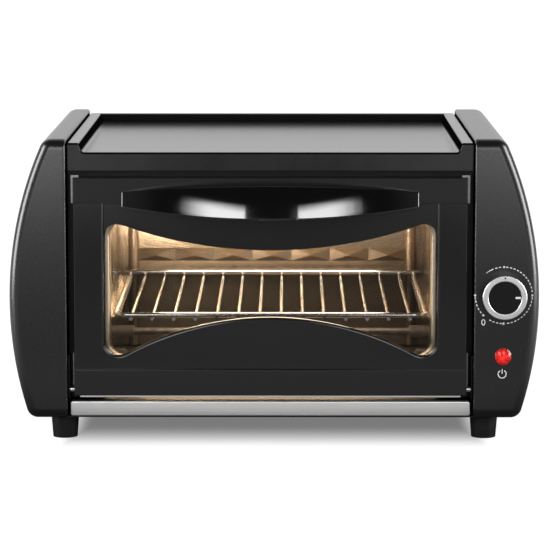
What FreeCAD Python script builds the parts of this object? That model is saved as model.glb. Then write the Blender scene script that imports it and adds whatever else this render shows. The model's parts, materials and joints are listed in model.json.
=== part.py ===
import FreeCAD
import Part
import Sketcher
import os
import re

# Countertop oven with a drop-down glass door, in millimetres.
# X runs to the right, Y to the back and Z up; the origin lies on the worktop under the middle.

DIMENSIONS = {
    # Whole oven
    "overall_width": 454,
    "cheek_depth": 308,
    "cheek_height": 240.8,
    "foot_height": 20.7,
    # Moulded side cheeks
    "left_cheek_width": 49.6,
    "right_cheek_width": 56.2,
    "cheek_wall": 2.5,
    "bulge_pull": 22.9,
    "bulge_drop": 18.1,
    "top_corner": 11,
    "low_corner": 10,
    "edge_round": 8.5,
    "rear_round": 3,
    "inner_round": 2.2,
    "seam": 0.8,
    "boss_radius": 5,
    "boss_inset": 35,
    "boss_front": 70,
    "boss_rear": 40,
    # Sheet-metal housing
    "sheet": 1,
    "back_recess": 3,
    "base_setback": 8,
    "base_gap": 0.5,
    "base_margin": 2,
    "flange_width": 14,
    "back_screw_rise": 24,
    "back_screw_drop": 16,
    "vent_length": 26,
    "vent_height": 4,
    "vent_pitch": 34,
    "vent_margin": 36,
    "back_vent_low": 90,
    "back_vent_high": 130,
    "base_vent_row": 90,
    # Top panel with its warming tray
    "rim_drop": 3.5,
    "rim_width": 10,
    "rim_slope": 3.2,
    "back_rim": 10,
    "tray_recess": 8,
    "fascia_height": 23.2,
    "fascia_recess": 4,
    "fascia_round": 2,
    "rim_round": 1.6,
    "foot_round": 3,
    # Front frame and cavity
    "door_gap": 1.5,
    "frame_clear": 2,
    "lip_sheet": 4.3,
    "lip_gap": 0.3,
    "lip_fit": 0.05,
    "lip_depth": 9,
    "lip_round": 3.8,
    "opening_rise": 35.3,
    "opening_drop": 20.7,
    "opening_round": 12,
    "cavity_side_gap": 31.1,
    "cavity_rear_gap": 17.5,
    "roof_gap": 40.3,
    "panel_margin": 18,
    "panel_gap": 10,
    "panel_rise": 12,
    "panel_drop": 28.1,
    "panel_raise": 0.8,
    "post_radius": 5,
    "emboss_margin": 13.45,
    "emboss_height": 12.5,
    "emboss_depth": 6,
    "emboss_rise": 10.8,
    # Door
    "door_side_gap": 5.8,
    "door_top_gap": 6.2,
    "door_low_gap": 5.3,
    "rail_recess": 1.5,
    "rail_thick": 2.5,
    "rail_round": 0.8,
    "top_rail_height": 21.7,
    "low_rail_height": 22.6,
    "panel_sheet": 1,
    "panel_round": 1,
    "collar_depth": 3,
    "collar_width": 3.5,
    "window_inset": 25.8,
    "window_peak": 67.7,
    "window_round": 12.5,
    "sill_fall": 20.7,
    "window_edge": 2.4,
    "mask_sheet": 0.6,
    "mask_lap": 6,
    "mask_sag": 62.8,
    "mask_rise": 11.5,
    "mask_round": 11,
    "glass_thick": 3.2,
    "glass_lap": 10,
    "glass_top_gap": 4,
    "glass_low_gap": 14,
    "retainer_sheet": 1.2,
    "retainer_height": 18,
    "retainer_drop": 1,
    "retainer_lift": 6,
    "tab_wing": 2.2,
    "tab_reach": 4.5,
    "tab_rise": 1.3,
    "tab_height": 24,
    "low_tab_wing": 1.7,
    "low_tab_drop": 3,
    "low_tab_height": 34,
    "hem_height": 1.3,
    "hem_inset": 5,
    "hem_recess": 0.3,
    # Door hinge
    "hinge_rise": 4.5,
    "hinge_clear": 0.3,
    "pin_radius": 2.5,
    "pin_gap": 0.05,
    "block_length": 12,
    "block_height": 8,
    "ear_wall": 2.3,
    "ear_height": 38,
    "ear_drop": 3,
    # Door handle
    "handle_span": 253,
    "handle_bow": 30,
    "handle_edge": 4.5,
    "handle_thick": 11,
    "handle_lean": 6.5,
    "handle_end": 13.4,
    "handle_middle": 28,
    "handle_rise": 3.2,
    "handle_trim": 1,
    "handle_barrel": 80,
    "handle_round": 1.2,
    "handle_screw_inset": 12,
    # Heating elements
    "element_radius": 3.3,
    "element_lift": 24.3,
    "element_drop": 11.7,
    "element_front": 70,
    "element_back": 72,
    "element_tail": 8,
    "pin_tail": 10,
    "bushing_radius": 5.5,
    "bushing_reach": 14,
    "bushing_flange": 8,
    "bushing_flange_thick": 3,
    "bushing_gap": 0.1,
    # Wire rack
    "rack_rise": 69.9,
    "rack_side_gap": 5.8,
    "rack_front": 10,
    "rack_rear_gap": 6,
    "rack_wire": 2.2,
    "rack_bend": 11,
    "rack_bar": 1.6,
    "rack_bar_inset": 2.55,
    "rack_sink": 0.5,
    "rack_wing_gap": 2.5,
    "rack_wing_inset": 11,
    "runner_width": 11,
    "runner_leg": 12,
    "runner_gap": 0.2,
    "runner_end_gap": 2,
    # Crumb tray
    "tray_lip_low": 2,
    "tray_lip_height": 12.7,
    "tray_lip_thick": 2.2,
    "tray_lip_recess": 3,
    "tray_lip_round": 2,
    "tray_sheet": 0.8,
    "tray_gap": 0.5,
    "tray_back_gap": 3,
    "rib_width": 6,
    "rib_inset": 8,
    "rib_rear_gap": 20,
    # Timer, knob and pilot lamp
    "control_inset": 25.2,
    "knob_level": 107.5,
    "lamp_level": 54.6,
    "knob_radius": 18.8,
    "knob_length": 15.7,
    "knob_gap": 0.6,
    "knob_ring_width": 4.8,
    "knob_ring_thick": 2.2,
    "knob_dish": 0.9,
    "pointer_length": 4.4,
    "pointer_width": 1.7,
    "pointer_depth": 0.6,
    "pointer_margin": 0.6,
    "shaft_radius": 3,
    "shaft_gap": 0.05,
    "bush_radius": 5,
    "timer_size": 32,
    "timer_depth": 34,
    "lens_radius": 7.2,
    "lens_height": 3.6,
    "lens_flange": 1.2,
    "lens_stem": 5.5,
    "hole_gap": 0.3,
    "lamp_length": 22,
    "clip_thick": 2,
    "clip_width": 3,
    "knob_wall": 2,
    "knob_hub_wall": 3,
    "knob_face_thick": 2.5,
    "socket_floor": 4,
    # Feet
    "foot_inset": 45.2,
    "foot_setback": 30,
    "foot_top_radius": 12.2,
    "foot_low_radius": 10.6,
    "foot_bore": 5,
    "foot_bore_depth": 12,
    # Screws
    "screw_radius": 1.9,
    "screw_gap": 0.1,
    "screw_head": 3.4,
    "screw_head_height": 2.2,
    "screw_grip": 8,
    "screw_end": 4,
    "screw_wall": 0.2,
    # Mains gland and electrical parts
    "gland_reach": 14,
    "gland_flange": 11,
    "gland_radius": 7,
    "gland_bore": 3.6,
    "gland_inset": 17,
    "gland_level": 40,
    "gland_nut": 10,
    "gland_disc_thick": 3,
    "gland_nut_thick": 4,
    "gland_neck": 7,
    "gland_taper": 1,
    "terminal_depth": 12,
    "terminal_length": 38,
    "terminal_height": 18,
    "terminal_rise": 20,
    "terminal_rear": 92,
    "thermostat_radius": 9,
    "thermostat_height": 9,
    "thermostat_drop": 40,
    "thermostat_base": 24,
    "thermostat_tab": 12,
    "thermostat_tab_thick": 2,
    "wire_radius": 1.4,
    "wire_hole": 4.2,
    "lead_bend": 8,
    "lead_rise": 12,
    "lamp_lead_bend": 3,
    "lamp_lead_side": 8,
    "lamp_lead_drop": 10,
    "lamp_lead_reach": 14,
}

PLACES = {
    # Across
    "left_in": "-overall_width / 2 + left_cheek_width",
    "right_in": "overall_width / 2 - right_cheek_width",
    "body_left": "left_in + seam",
    "body_right": "right_in - seam",
    "middle": "(body_left + body_right) / 2",
    "door_left": "left_in + door_side_gap",
    "door_right": "right_in - door_side_gap",
    "window_left": "door_left + window_inset",
    "window_right": "door_right - window_inset",
    "window_half": "(window_right - window_left) / 2",
    "cavity_left": "body_left + cavity_side_gap",
    "cavity_right": "body_right - cavity_side_gap",
    "cavity_width": "cavity_right - cavity_left",
    "rack_width": "cavity_width - 2 * rack_side_gap",
    "foot_x": "overall_width / 2 - foot_inset",
    "opening_half": "cavity_width / 2 - lip_sheet - lip_gap",
    "tray_left": "body_left + sheet + tray_gap",
    "tray_right": "body_right - sheet - tray_gap",
    "base_half": "foot_x + foot_top_radius + base_margin",
    "control_x": "right_in + control_inset",
    "gland_x": "body_right - flange_width - gland_inset",
    "bulge_height": "cheek_height / 2 - bulge_drop",
    "bulge_rise": "cheek_height / 2 + bulge_drop",
    "bulge_radius": "((cheek_height / 2)^2 + bulge_pull^2) / (2 * bulge_pull)",
    # Up
    "cheek_top": "foot_height + cheek_height",
    "base_top": "foot_height + sheet",
    "rim_top": "cheek_top - rim_drop",
    "tray_floor": "rim_top - tray_recess",
    "fascia_low": "rim_top - fascia_height",
    "door_top": "fascia_low - door_top_gap",
    "door_low": "pan_top + door_low_gap",
    "top_rail_low": "door_top - top_rail_height",
    "hinge_z": "door_low + hinge_rise",
    "sill_side": "window_half - window_round",
    "sill_radius": "(sill_side^2 + sill_fall^2 - window_round^2) / (2 * (sill_fall + window_round))",
    "sill_centre": "door_low + window_peak - sill_radius",
    "sill_corner": "door_low + window_peak - sill_fall",
    "mask_side": "window_half - mask_round",
    "mask_radius": "(mask_side^2 + mask_rise^2 - mask_round^2) / (2 * (mask_rise + mask_round))",
    "mask_centre": "door_top - mask_sag + mask_radius",
    "mask_corner": "door_top - mask_sag + mask_rise",
    "mask_share": "mask_round / (mask_radius + mask_round)",
    "mask_touch": "mask_corner + (mask_centre - mask_corner) * mask_share",
    "mask_run": "mask_round + mask_side * mask_share",
    "handle_z": "top_rail_low + handle_rise",
    "handle_screw_z": "top_rail_low + collar_width + screw_head + screw_wall",
    "pan_top": "foot_height + tray_lip_low + tray_lip_height",
    "wall_low": "pan_top + frame_clear",
    "cavity_top": "tray_floor - roof_gap",
    "opening_low": "wall_low + opening_rise",
    "opening_top": "cavity_top - opening_drop",
    "rack_level": "wall_low + rack_rise",
    "runner_top": "rack_level - rack_wire - runner_gap",
    "knob_z": "foot_height + knob_level",
    "lamp_z": "foot_height + lamp_level",
    "gland_z": "foot_height + gland_level",
    "terminal_low": "gland_z + terminal_rise",
    # Back
    "front": "(handle_bow - rail_recess - cheek_depth + back_recess - gland_reach) / 2",
    "rear": "front + cheek_depth",
    "fascia_face": "front + fascia_recess",
    "rail_face": "front + rail_recess",
    "panel_face": "rail_face + rail_thick",
    "panel_back": "panel_face + panel_sheet",
    "collar_back": "panel_back + collar_depth",
    "glass_face": "collar_back + mask_sheet",
    "glass_back": "glass_face + glass_thick",
    "retainer_back": "glass_back + retainer_sheet",
    "frame_face": "retainer_back + door_gap",
    "frame_back": "frame_face + sheet",
    "back_face": "rear - back_recess",
    "cavity_back": "back_face - cavity_rear_gap",
    "cavity_depth": "cavity_back - frame_back",
    "hinge_y": "panel_back + pin_radius + hinge_clear",
    "ear_front": "hinge_y - pin_radius - ear_wall",
    "handle_front": "rail_face - handle_bow",
    "handle_arch": "handle_bow - handle_edge",
    "handle_radius": "((handle_span / 2)^2 + handle_arch^2) / (2 * handle_arch)",
    "rack_nose": "frame_face + rack_front",
    "rack_tail": "cavity_back - rack_rear_gap",
    "knob_face": "front - knob_length",
    "ring_back": "knob_face + knob_ring_thick",
    "cap_face": "knob_face + knob_dish",
    "control_back": "front + cheek_wall",
    "timer_rear": "control_back + timer_depth",
    "lead_y": "front + boss_front",
}

WORD = re.compile(r"[A-Za-z_][A-Za-z_0-9]*")
NORMAL = {"XY": "+Z", "XZ": "-Y", "YZ": "+X"}
TURNS = {
    "X": FreeCAD.Rotation(FreeCAD.Vector(0, 1, 0), 90),
    "Y": FreeCAD.Rotation(FreeCAD.Vector(1, 0, 0), -90),
    "Z": FreeCAD.Rotation(),
}

doc = FreeCAD.newDocument("oven")
dims = doc.addObject("Spreadsheet::Sheet", "dims")
for row, (alias, number) in enumerate(DIMENSIONS.items(), 1):
    dims.set("A%d" % row, str(number))
    dims.setAlias("A%d" % row, alias)
doc.recompute()

pieces = {}


def formula(text):
    """Expand the named places and point every dimension at its cell."""
    def expand(match):
        word = match.group(0)
        if word in PLACES:
            return "(" + formula(PLACES[word]) + ")"
        if word in DIMENSIONS:
            return "dims." + word
        return word
    return WORD.sub(expand, str(text))


def value(text):
    return float(dims.evalExpression(formula(text)))


def bind(item, prop, text):
    item.setExpression(prop, formula(text))


def place(item, x, y, z):
    bind(item, "Placement.Base.x", x)
    bind(item, "Placement.Base.y", y)
    bind(item, "Placement.Base.z", z)


def turned(angle):
    """A placement turned about the upright axis."""
    return FreeCAD.Placement(FreeCAD.Vector(), FreeCAD.Rotation(FreeCAD.Vector(0, 0, 1), angle))


def publish(label, item):
    item.Label = label
    pieces[label] = item
    return item


# Primitives and booleans


def box(name, xs, ys, zs):
    """A block between two places on each axis."""
    item = doc.addObject("Part::Box", name)
    for prop, (low, high) in zip(("Length", "Width", "Height"), (xs, ys, zs)):
        bind(item, prop, "(%s) - (%s)" % (high, low))
    place(item, xs[0], ys[0], zs[0])
    return item


def axis_place(item, axis, start, across):
    """Stand a turned primitive along an axis; across holds its two other coordinates in order."""
    item.Placement = FreeCAD.Placement(FreeCAD.Vector(), TURNS[axis])
    spots = list(across)
    spots.insert("XYZ".index(axis), start)
    place(item, *spots)


def rod(name, axis, span, across, radius):
    item = doc.addObject("Part::Cylinder", name)
    bind(item, "Radius", radius)
    bind(item, "Height", "(%s) - (%s)" % (span[1], span[0]))
    axis_place(item, axis, span[0], across)
    return item


def cone(name, axis, span, across, radii):
    item = doc.addObject("Part::Cone", name)
    bind(item, "Radius1", radii[0])
    bind(item, "Radius2", radii[1])
    bind(item, "Height", "(%s) - (%s)" % (span[1], span[0]))
    axis_place(item, axis, span[0], across)
    return item


def union(name, items):
    item = doc.addObject("Part::MultiFuse", name)
    item.Shapes = items
    return item


def common(name, items):
    item = doc.addObject("Part::MultiCommon", name)
    item.Shapes = items
    return item


def cut(name, base, tools):
    item = doc.addObject("Part::Cut", name)
    item.Base = base
    item.Tool = tools[0] if len(tools) == 1 else union(name + "_tools", tools)
    return item


def group(name, items):
    item = doc.addObject("Part::Compound", name)
    item.Links = items
    return item


# Sketched bodies


def new_body(name):
    return doc.addObject("PartDesign::Body", name)


def fix_point(sketch, geometry, position, spot):
    """Hold a point of the sketch at two bound coordinates."""
    for kind, text in zip(("DistanceX", "DistanceY"), spot):
        index = sketch.addConstraint(
            Sketcher.Constraint(kind, -1, 1, geometry, position, value(text)))
        bind(sketch, "Constraints[%d]" % index, text)


def add_circle(sketch, spot, radius):
    centre = FreeCAD.Vector(value(spot[0]), value(spot[1]), 0)
    circle = sketch.addGeometry(Part.Circle(centre, FreeCAD.Vector(0, 0, 1), value(radius)))
    fix_point(sketch, circle, 3, spot)
    index = sketch.addConstraint(Sketcher.Constraint("Radius", circle, value(radius)))
    bind(sketch, "Constraints[%d]" % index, radius)


def arc_between(start, end, radius, turn):
    """The shorter arc between two points, turning left for +1 and right for -1."""
    chord = end - start
    half = chord.Length / 2
    reach = max(radius ** 2 - half ** 2, 0) ** 0.5
    left = FreeCAD.Vector(-chord.y, chord.x, 0).normalize()
    centre = (start + end) * 0.5 + left * reach * turn
    first, last = (start, end) if turn > 0 else (end, start)
    axis = FreeCAD.Vector(1, 0, 0)
    angles = []
    for point in (first, last):
        arm = point - centre
        angles.append(axis.getAngle(arm) * (1 if arm.y >= 0 else -1))
    circle = Part.Circle(centre, FreeCAD.Vector(0, 0, 1), radius)
    return Part.ArcOfCircle(circle, angles[0], angles[1])


def add_loop(sketch, corners):
    """A closed outline; a corner with a radius and a turn starts an arc to the next corner."""
    points = [FreeCAD.Vector(value(corner[0]), value(corner[1]), 0) for corner in corners]
    ends = []
    for index, corner in enumerate(corners):
        start = points[index]
        end = points[(index + 1) % len(points)]
        if len(corner) == 2:
            ends.append((sketch.addGeometry(Part.LineSegment(start, end)), 1, 2))
            continue
        radius, turn = corner[2:]
        arc = sketch.addGeometry(arc_between(start, end, value(radius), turn))
        ends.append((arc, 1, 2) if turn > 0 else (arc, 2, 1))
    for index, (geometry, first, last) in enumerate(ends):
        following = ends[(index + 1) % len(ends)]
        sketch.addConstraint(
            Sketcher.Constraint("Coincident", geometry, last, following[0], following[1]))
        fix_point(sketch, geometry, first, corners[index][:2])
        if len(corners[index]) == 4:
            radius = corners[index][2]
            bound = sketch.addConstraint(Sketcher.Constraint("Radius", geometry, value(radius)))
            bind(sketch, "Constraints[%d]" % bound, radius)


def draw(body, plane, level, loops=(), circles=()):
    """A sketch on one of the body's own planes, at a level along that plane's axis."""
    sketch = body.newObject("Sketcher::SketchObject", body.Name + "_sketch")
    support = [item for item in body.Origin.OriginFeatures if item.Role == plane + "_Plane"]
    sketch.AttachmentSupport = [(support[0], "")]
    sketch.MapMode = "FlatFace"
    sign = "-" if plane == "XZ" else ""
    bind(sketch, "AttachmentOffset.Base.z", sign + "(" + level + ")")
    for corners in loops:
        add_loop(sketch, corners)
    for spot, radius in circles:
        add_circle(sketch, spot, radius)
    doc.recompute()
    return sketch


def pad(body, plane, level, length, towards, loops=(), circles=()):
    sketch = draw(body, plane, level, loops, circles)
    feature = body.newObject("PartDesign::Pad", body.Name + "_pad")
    feature.Profile = sketch
    bind(feature, "Length", length)
    feature.Reversed = towards != NORMAL[plane]
    doc.recompute()
    return feature


def pocket(body, plane, level, length, towards, loops=(), circles=()):
    before = body.Shape.Volume
    sketch = draw(body, plane, level, loops, circles)
    feature = body.newObject("PartDesign::Pocket", body.Name + "_pocket")
    feature.Profile = sketch
    bind(feature, "Length", length)
    feature.Reversed = towards == NORMAL[plane]
    doc.recompute()
    if body.Shape.Volume >= before - 1e-6:
        raise ValueError(feature.Name + " removes nothing")
    return feature


def repeat(body, feature, length, count):
    """Repeat a feature along its sketch's own horizontal axis."""
    pattern = body.newObject("PartDesign::LinearPattern", body.Name + "_row")
    pattern.Originals = [feature]
    pattern.Direction = (feature.Profile[0], ["H_Axis"])
    bind(pattern, "Length", length)
    pattern.Occurrences = count
    body.Tip = pattern
    doc.recompute()
    return pattern


def edge_points(edge):
    first, last = edge.ParameterRange
    return [edge.valueAt(first + (last - first) * share) for share in (0, 0.25, 0.5, 0.75, 1)]


def lies(edge, **levels):
    """True if the whole edge keeps the given coordinates."""
    targets = {axis: value(text) for axis, text in levels.items()}
    return all(abs(getattr(point, axis) - target) < 1e-3
               for point in edge_points(edge) for axis, target in targets.items())


def soften(body, radius, wanted):
    """Round the edges of the body's tip that the test picks."""
    base = body.Tip
    names = ["Edge%d" % number for number, edge in enumerate(base.Shape.Edges, 1) if wanted(edge)]
    if not names:
        raise ValueError(body.Name + " has no edge to round")
    feature = body.newObject("PartDesign::Fillet", body.Name + "_round")
    feature.Base = (base, names)
    bind(feature, "Radius", radius)
    doc.recompute()
    return feature


def rectangle(xs, zs):
    return [(xs[0], zs[0]), (xs[1], zs[0]), (xs[1], zs[1]), (xs[0], zs[1])]


def rounded(xs, zs, radius):
    """A rectangle with four rounded corners, turning left."""
    low_x, high_x = xs
    low_z, high_z = zs
    inset = "(%s) + %s"
    outset = "(%s) - %s"
    return [
        (inset % (low_x, radius), low_z),
        (outset % (high_x, radius), low_z, radius, 1),
        (high_x, inset % (low_z, radius)),
        (high_x, outset % (high_z, radius), radius, 1),
        (outset % (high_x, radius), high_z),
        (inset % (low_x, radius), high_z, radius, 1),
        (low_x, outset % (high_z, radius)),
        (low_x, inset % (low_z, radius), radius, 1),
    ]


def screw(name, axis, seat, outward, across, grip="screw_grip"):
    """A pan-head screw: its head stands outward of the seat and its shank goes the other way."""
    if outward > 0:
        head = (seat, "(%s) + screw_head_height" % seat)
        shank = ("(%s) - %s" % (seat, grip), seat)
    else:
        head = ("(%s) - screw_head_height" % seat, seat)
        shank = (seat, "(%s) + %s" % (seat, grip))
    return union(name, [
        rod(name + "_head", axis, head, across, "screw_head"),
        rod(name + "_shank", axis, shank, across, "screw_radius"),
    ])


# Side cheeks


def cheek_solid(name, side, inset, overrun):
    """The bulged outline padded front to back, inset by a wall and run past the seam."""
    radius = "bulge_radius - " + inset
    edge = "overall_width / 2 - bulge_radius"
    low = "foot_height + " + inset
    top = "cheek_top - " + inset
    low_x = edge + " + sqrt((%s)^2 - (bulge_height - %s)^2)" % (radius, inset)
    top_x = edge + " + sqrt((%s)^2 - (bulge_rise - %s)^2)" % (radius, inset)
    body = new_body(name)
    if side == "left":
        inner = "left_in + " + overrun
        low_x, top_x = "-(%s)" % low_x, "-(%s)" % top_x
        corners = [(low_x, low), (inner, low), (inner, top), (top_x, top, radius, 1)]
    else:
        inner = "right_in - " + overrun
        corners = [(inner, low), (low_x, low, radius, 1), (top_x, top), (inner, top)]
    start = "front + " + inset
    end = "rear - " + inset
    pad(body, "XZ", start, "(%s) - (%s)" % (end, start), "+Y", [corners])
    soften(body, "top_corner - " + inset, lambda edge: lies(edge, x=top_x, z=top))
    soften(body, "low_corner - " + inset, lambda edge: lies(edge, x=low_x, z=low))
    soften(body, "edge_round - " + inset, lambda edge: lies(edge, y=start) and not lies(edge, x=inner))
    return body


def boss_spots():
    return [("front + boss_front", "foot_height + boss_inset"),
            ("front + boss_front", "cheek_top - boss_inset"),
            ("rear - boss_rear", "foot_height + boss_inset"),
            ("rear - boss_rear", "cheek_top - boss_inset")]


def cheek(side):
    name = side + "_cheek"
    outer = cheek_solid(name + "_outer", side, "0", "0")
    soften(outer, "rear_round", lambda edge: lies(edge, y="rear") and not lies(edge, x=side + "_in"))
    soften(outer, "inner_round", lambda edge: lies(edge, x=side + "_in"))
    inner = cheek_solid(name + "_inner", side, "cheek_wall", "1")
    reach = "overall_width / 2"
    bosses = []
    pads = []
    pilots = []
    for number, spot in enumerate(boss_spots()):
        tag = "%s_boss_%d" % (name, number)
        if side == "left":
            span = ("-(%s)" % reach, "left_in")
            seat = ("left_in - 4", "body_left")
            pilot = ("body_left - screw_grip", "body_left")
        else:
            span = ("right_in", reach)
            seat = ("body_right", "right_in + 4")
            pilot = ("body_right", "body_right + screw_grip")
        bosses.append(rod(tag, "X", span, spot, "boss_radius"))
        pads.append(rod(tag + "_pad", "X", seat, spot, "boss_radius"))
        pilots.append(rod(tag + "_pilot", "X", pilot, spot, "screw_radius + screw_gap"))
    hollow = cut(name + "_hollow", inner, bosses)
    shell = cut(name + "_shell", outer, [hollow])
    if side == "left":
        notch_x = ("-base_half - base_gap", "left_in + 1")
    else:
        notch_x = ("right_in - 1", "base_half + base_gap")
    notch = box(name + "_notch", notch_x, ("front + base_setback - base_gap", "back_face + base_gap"),
                ("foot_height - 1", "foot_height + cheek_wall + 0.5"))
    openings = [notch] + pilots
    if side == "right":
        openings.append(rod("shaft_hole", "Y", ("front - 1", "control_back + 1"),
                            ("control_x", "knob_z"), "bush_radius + hole_gap"))
        openings.append(rod("lamp_hole", "Y", ("front - 1", "control_back + 1"),
                            ("control_x", "lamp_z"), "lens_stem + hole_gap"))
    publish(name, cut(name + "_final", union(name + "_bossed", [shell] + pads), openings))


cheek("left")
cheek("right")


# Top panel: a shallow tray between two side rims and a back rim, open to the front


def top_panel():
    body = new_body("top_panel_body")
    depth = "back_face - fascia_face"
    pad(body, "XZ", "fascia_face", depth, "+Y",
        [rectangle(("body_left", "body_right"), ("fascia_low", "rim_top"))])
    foot = "rim_width + rim_slope"
    pocket(body, "XZ", "fascia_face", depth + " - back_rim", "+Y", [[
        ("body_left + " + foot, "tray_floor"), ("body_right - (%s)" % foot, "tray_floor"),
        ("body_right - rim_width", "rim_top"), ("body_left + rim_width", "rim_top")]])
    pocket(body, "XZ", "fascia_face + sheet", depth + " - 2 * sheet", "+Y", [[
        ("body_left + sheet", "fascia_low"), ("body_right - sheet", "fascia_low"),
        ("body_right - sheet", "rim_top - sheet"), ("body_right - rim_width + sheet", "rim_top - sheet"),
        ("body_right - (%s) + sheet" % foot, "tray_floor - sheet"),
        ("body_left + %s - sheet" % foot, "tray_floor - sheet"),
        ("body_left + rim_width - sheet", "rim_top - sheet"), ("body_left + sheet", "rim_top - sheet")]])
    pocket(body, "XZ", "back_face - back_rim + sheet", "back_rim - 2 * sheet", "+Y",
           [rectangle(("body_left + sheet", "body_right - sheet"), ("fascia_low", "rim_top - sheet"))])
    soften(body, "foot_round", lambda edge: lies(edge, x="body_left + " + foot, z="tray_floor")
           or lies(edge, x="body_right - (%s)" % foot, z="tray_floor"))
    soften(body, "rim_round", lambda edge: lies(edge, z="rim_top") and not lies(edge, y="fascia_face"))
    low = value("tray_floor") - 1e-3

    def front_top(edge):
        heights = [point.z for point in edge_points(edge)]
        return lies(edge, y="fascia_face") and min(heights) > low

    soften(body, "fascia_round", front_top)
    publish("top_panel", body)


top_panel()


# Housing sheets


def vent_slot(x, z):
    levels = ("(%s) - vent_height / 2" % z, "(%s) + vent_height / 2" % z)
    return rounded((x, "(%s) + vent_length" % x), levels, "(vent_height * 0.45)")


VENT_COUNT = int(value("(body_right - body_left - 2 * vent_margin - vent_length) / vent_pitch")) + 1
vent_run = "vent_pitch * %d" % (VENT_COUNT - 1)
vent_start = "middle - (%s + vent_length) / 2" % vent_run


def back_screw_spots():
    levels = ("base_top + back_screw_rise", "(base_top + fascia_low) / 2", "fascia_low - back_screw_drop")
    sides = ("body_left + flange_width / 2", "body_right - flange_width / 2")
    return [(x, z) for x in sides for z in levels]


def back_panel():
    body = new_body("back_panel_body")
    holes = [(spot, "screw_radius + screw_gap") for spot in back_screw_spots()]
    holes.append((("gland_x", "gland_z"), "gland_radius + hole_gap"))
    pad(body, "XZ", "back_face - sheet", "sheet", "+Y",
        [rectangle(("body_left", "body_right"), ("base_top", "fascia_low"))], holes)
    for level in ("foot_height + back_vent_low", "foot_height + back_vent_high"):
        slot = pocket(body, "XZ", "back_face - sheet", "sheet", "+Y", [vent_slot(vent_start, level)])
        repeat(body, slot, vent_run, VENT_COUNT)
    publish("back_panel", body)


def foot_spots():
    return {side + "_" + end: (sign + "(foot_x)", y)
            for side, sign in (("left", "-"), ("right", ""))
            for end, y in (("front", "front + foot_setback"), ("rear", "rear - foot_setback"))}


def base_plate():
    body = new_body("base_plate_body")
    holes = [(spot, "screw_radius + screw_gap") for spot in foot_spots().values()]
    pad(body, "XY", "foot_height", "sheet", "+Z",
        [rectangle(("-base_half", "base_half"), ("front + base_setback", "back_face"))], holes)
    for y in ("front + base_vent_row", "rear - base_vent_row"):
        slot = pocket(body, "XY", "foot_height", "sheet", "+Z", [vent_slot(vent_start, y)])
        repeat(body, slot, vent_run, VENT_COUNT)
    ribs = []
    for side, x in (("left", "body_left + rib_inset"), ("right", "body_right - rib_inset - rib_width")):
        ribs.append(box(side + "_rib", (x, x + " + rib_width"),
                        ("front + base_setback", "cavity_back - rib_rear_gap"),
                        ("base_top", "pan_top - tray_sheet - runner_gap")))
    publish("base_plate", union("base_plate_final", [body] + ribs))


def chassis_side(side):
    name = side + "_chassis_side"
    if side == "left":
        xs = ("body_left", "body_left + sheet")
        flange_x = ("body_left", "body_left + flange_width")
    else:
        xs = ("body_right - sheet", "body_right")
        flange_x = ("body_right - flange_width", "body_right")
    plate = box(name + "_plate", xs, ("frame_face", "back_face - sheet"), ("base_top", "fascia_low"))
    ear = box(name + "_ear", xs, ("ear_front", "frame_face"),
              ("door_low - ear_drop", "door_low - ear_drop + ear_height"))
    flange = box(name + "_flange", flange_x, ("back_face - 2 * sheet", "back_face - sheet"),
                 ("base_top", "fascia_low"))
    span = (xs[0] + " - 1", xs[1] + " + 1")
    holes = [rod(name + "_pivot", "X", span, ("hinge_y", "hinge_z"), "pin_radius + pin_gap")]
    for number, spot in enumerate(boss_spots()):
        holes.append(rod("%s_hole_%d" % (name, number), "X", span, spot, "screw_radius + screw_gap"))
    for number, spot in enumerate(back_screw_spots()):
        if ("body_" + side) in spot[0]:
            holes.append(rod("%s_back_hole_%d" % (name, number), "Y",
                             ("back_face - 3 * sheet", "back_face"), spot, "screw_radius + screw_gap"))
    if side == "right":
        holes.append(rod("lead_hole", "X", span, ("lead_y", "knob_z"), "wire_hole"))
    publish(name, cut(name + "_final", union(name + "_folded", [plate, ear, flange]), holes))


back_panel()
base_plate()
chassis_side("left")
chassis_side("right")


# Front frame, with a rolled steel trim round the cavity mouth


def mouth(grow):
    return rounded(("middle - opening_half - (%s)" % grow, "middle + opening_half + (%s)" % grow),
                   ("opening_low - (%s)" % grow, "opening_top + (%s)" % grow),
                   "(opening_round + (%s))" % grow)


def front_frame():
    body = new_body("front_frame_body")
    outline = rectangle(("body_left + sheet", "body_right - sheet"), ("wall_low", "tray_floor - sheet"))
    pad(body, "XZ", "frame_face", "sheet", "+Y", [outline, mouth("lip_sheet + lip_fit")])
    publish("front_frame", body)


def mouth_trim():
    body = new_body("mouth_trim_body")
    pad(body, "XZ", "frame_face", "sheet + lip_depth", "+Y", [mouth("lip_sheet"), mouth("0")])
    half = value("opening_half") + 0.01
    centre = value("middle")
    low = value("opening_low") - 0.01
    top = value("opening_top") + 0.01

    def mouth_edge(edge):
        inner = all(abs(p.x - centre) < half and low < p.z < top for p in edge_points(edge))
        return inner and lies(edge, y="frame_face")

    soften(body, "lip_round", mouth_edge)
    publish("mouth_trim", body)


front_frame()
mouth_trim()


# Cavity


def element_spots():
    levels = {"lower": "wall_low + element_lift", "upper": "cavity_top - element_drop"}
    rows = {"front": "frame_back + element_front", "rear": "cavity_back - element_back"}
    return {level + "_" + row: (rows[row], levels[level]) for level in levels for row in rows}


PANEL_COUNT = 3


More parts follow.
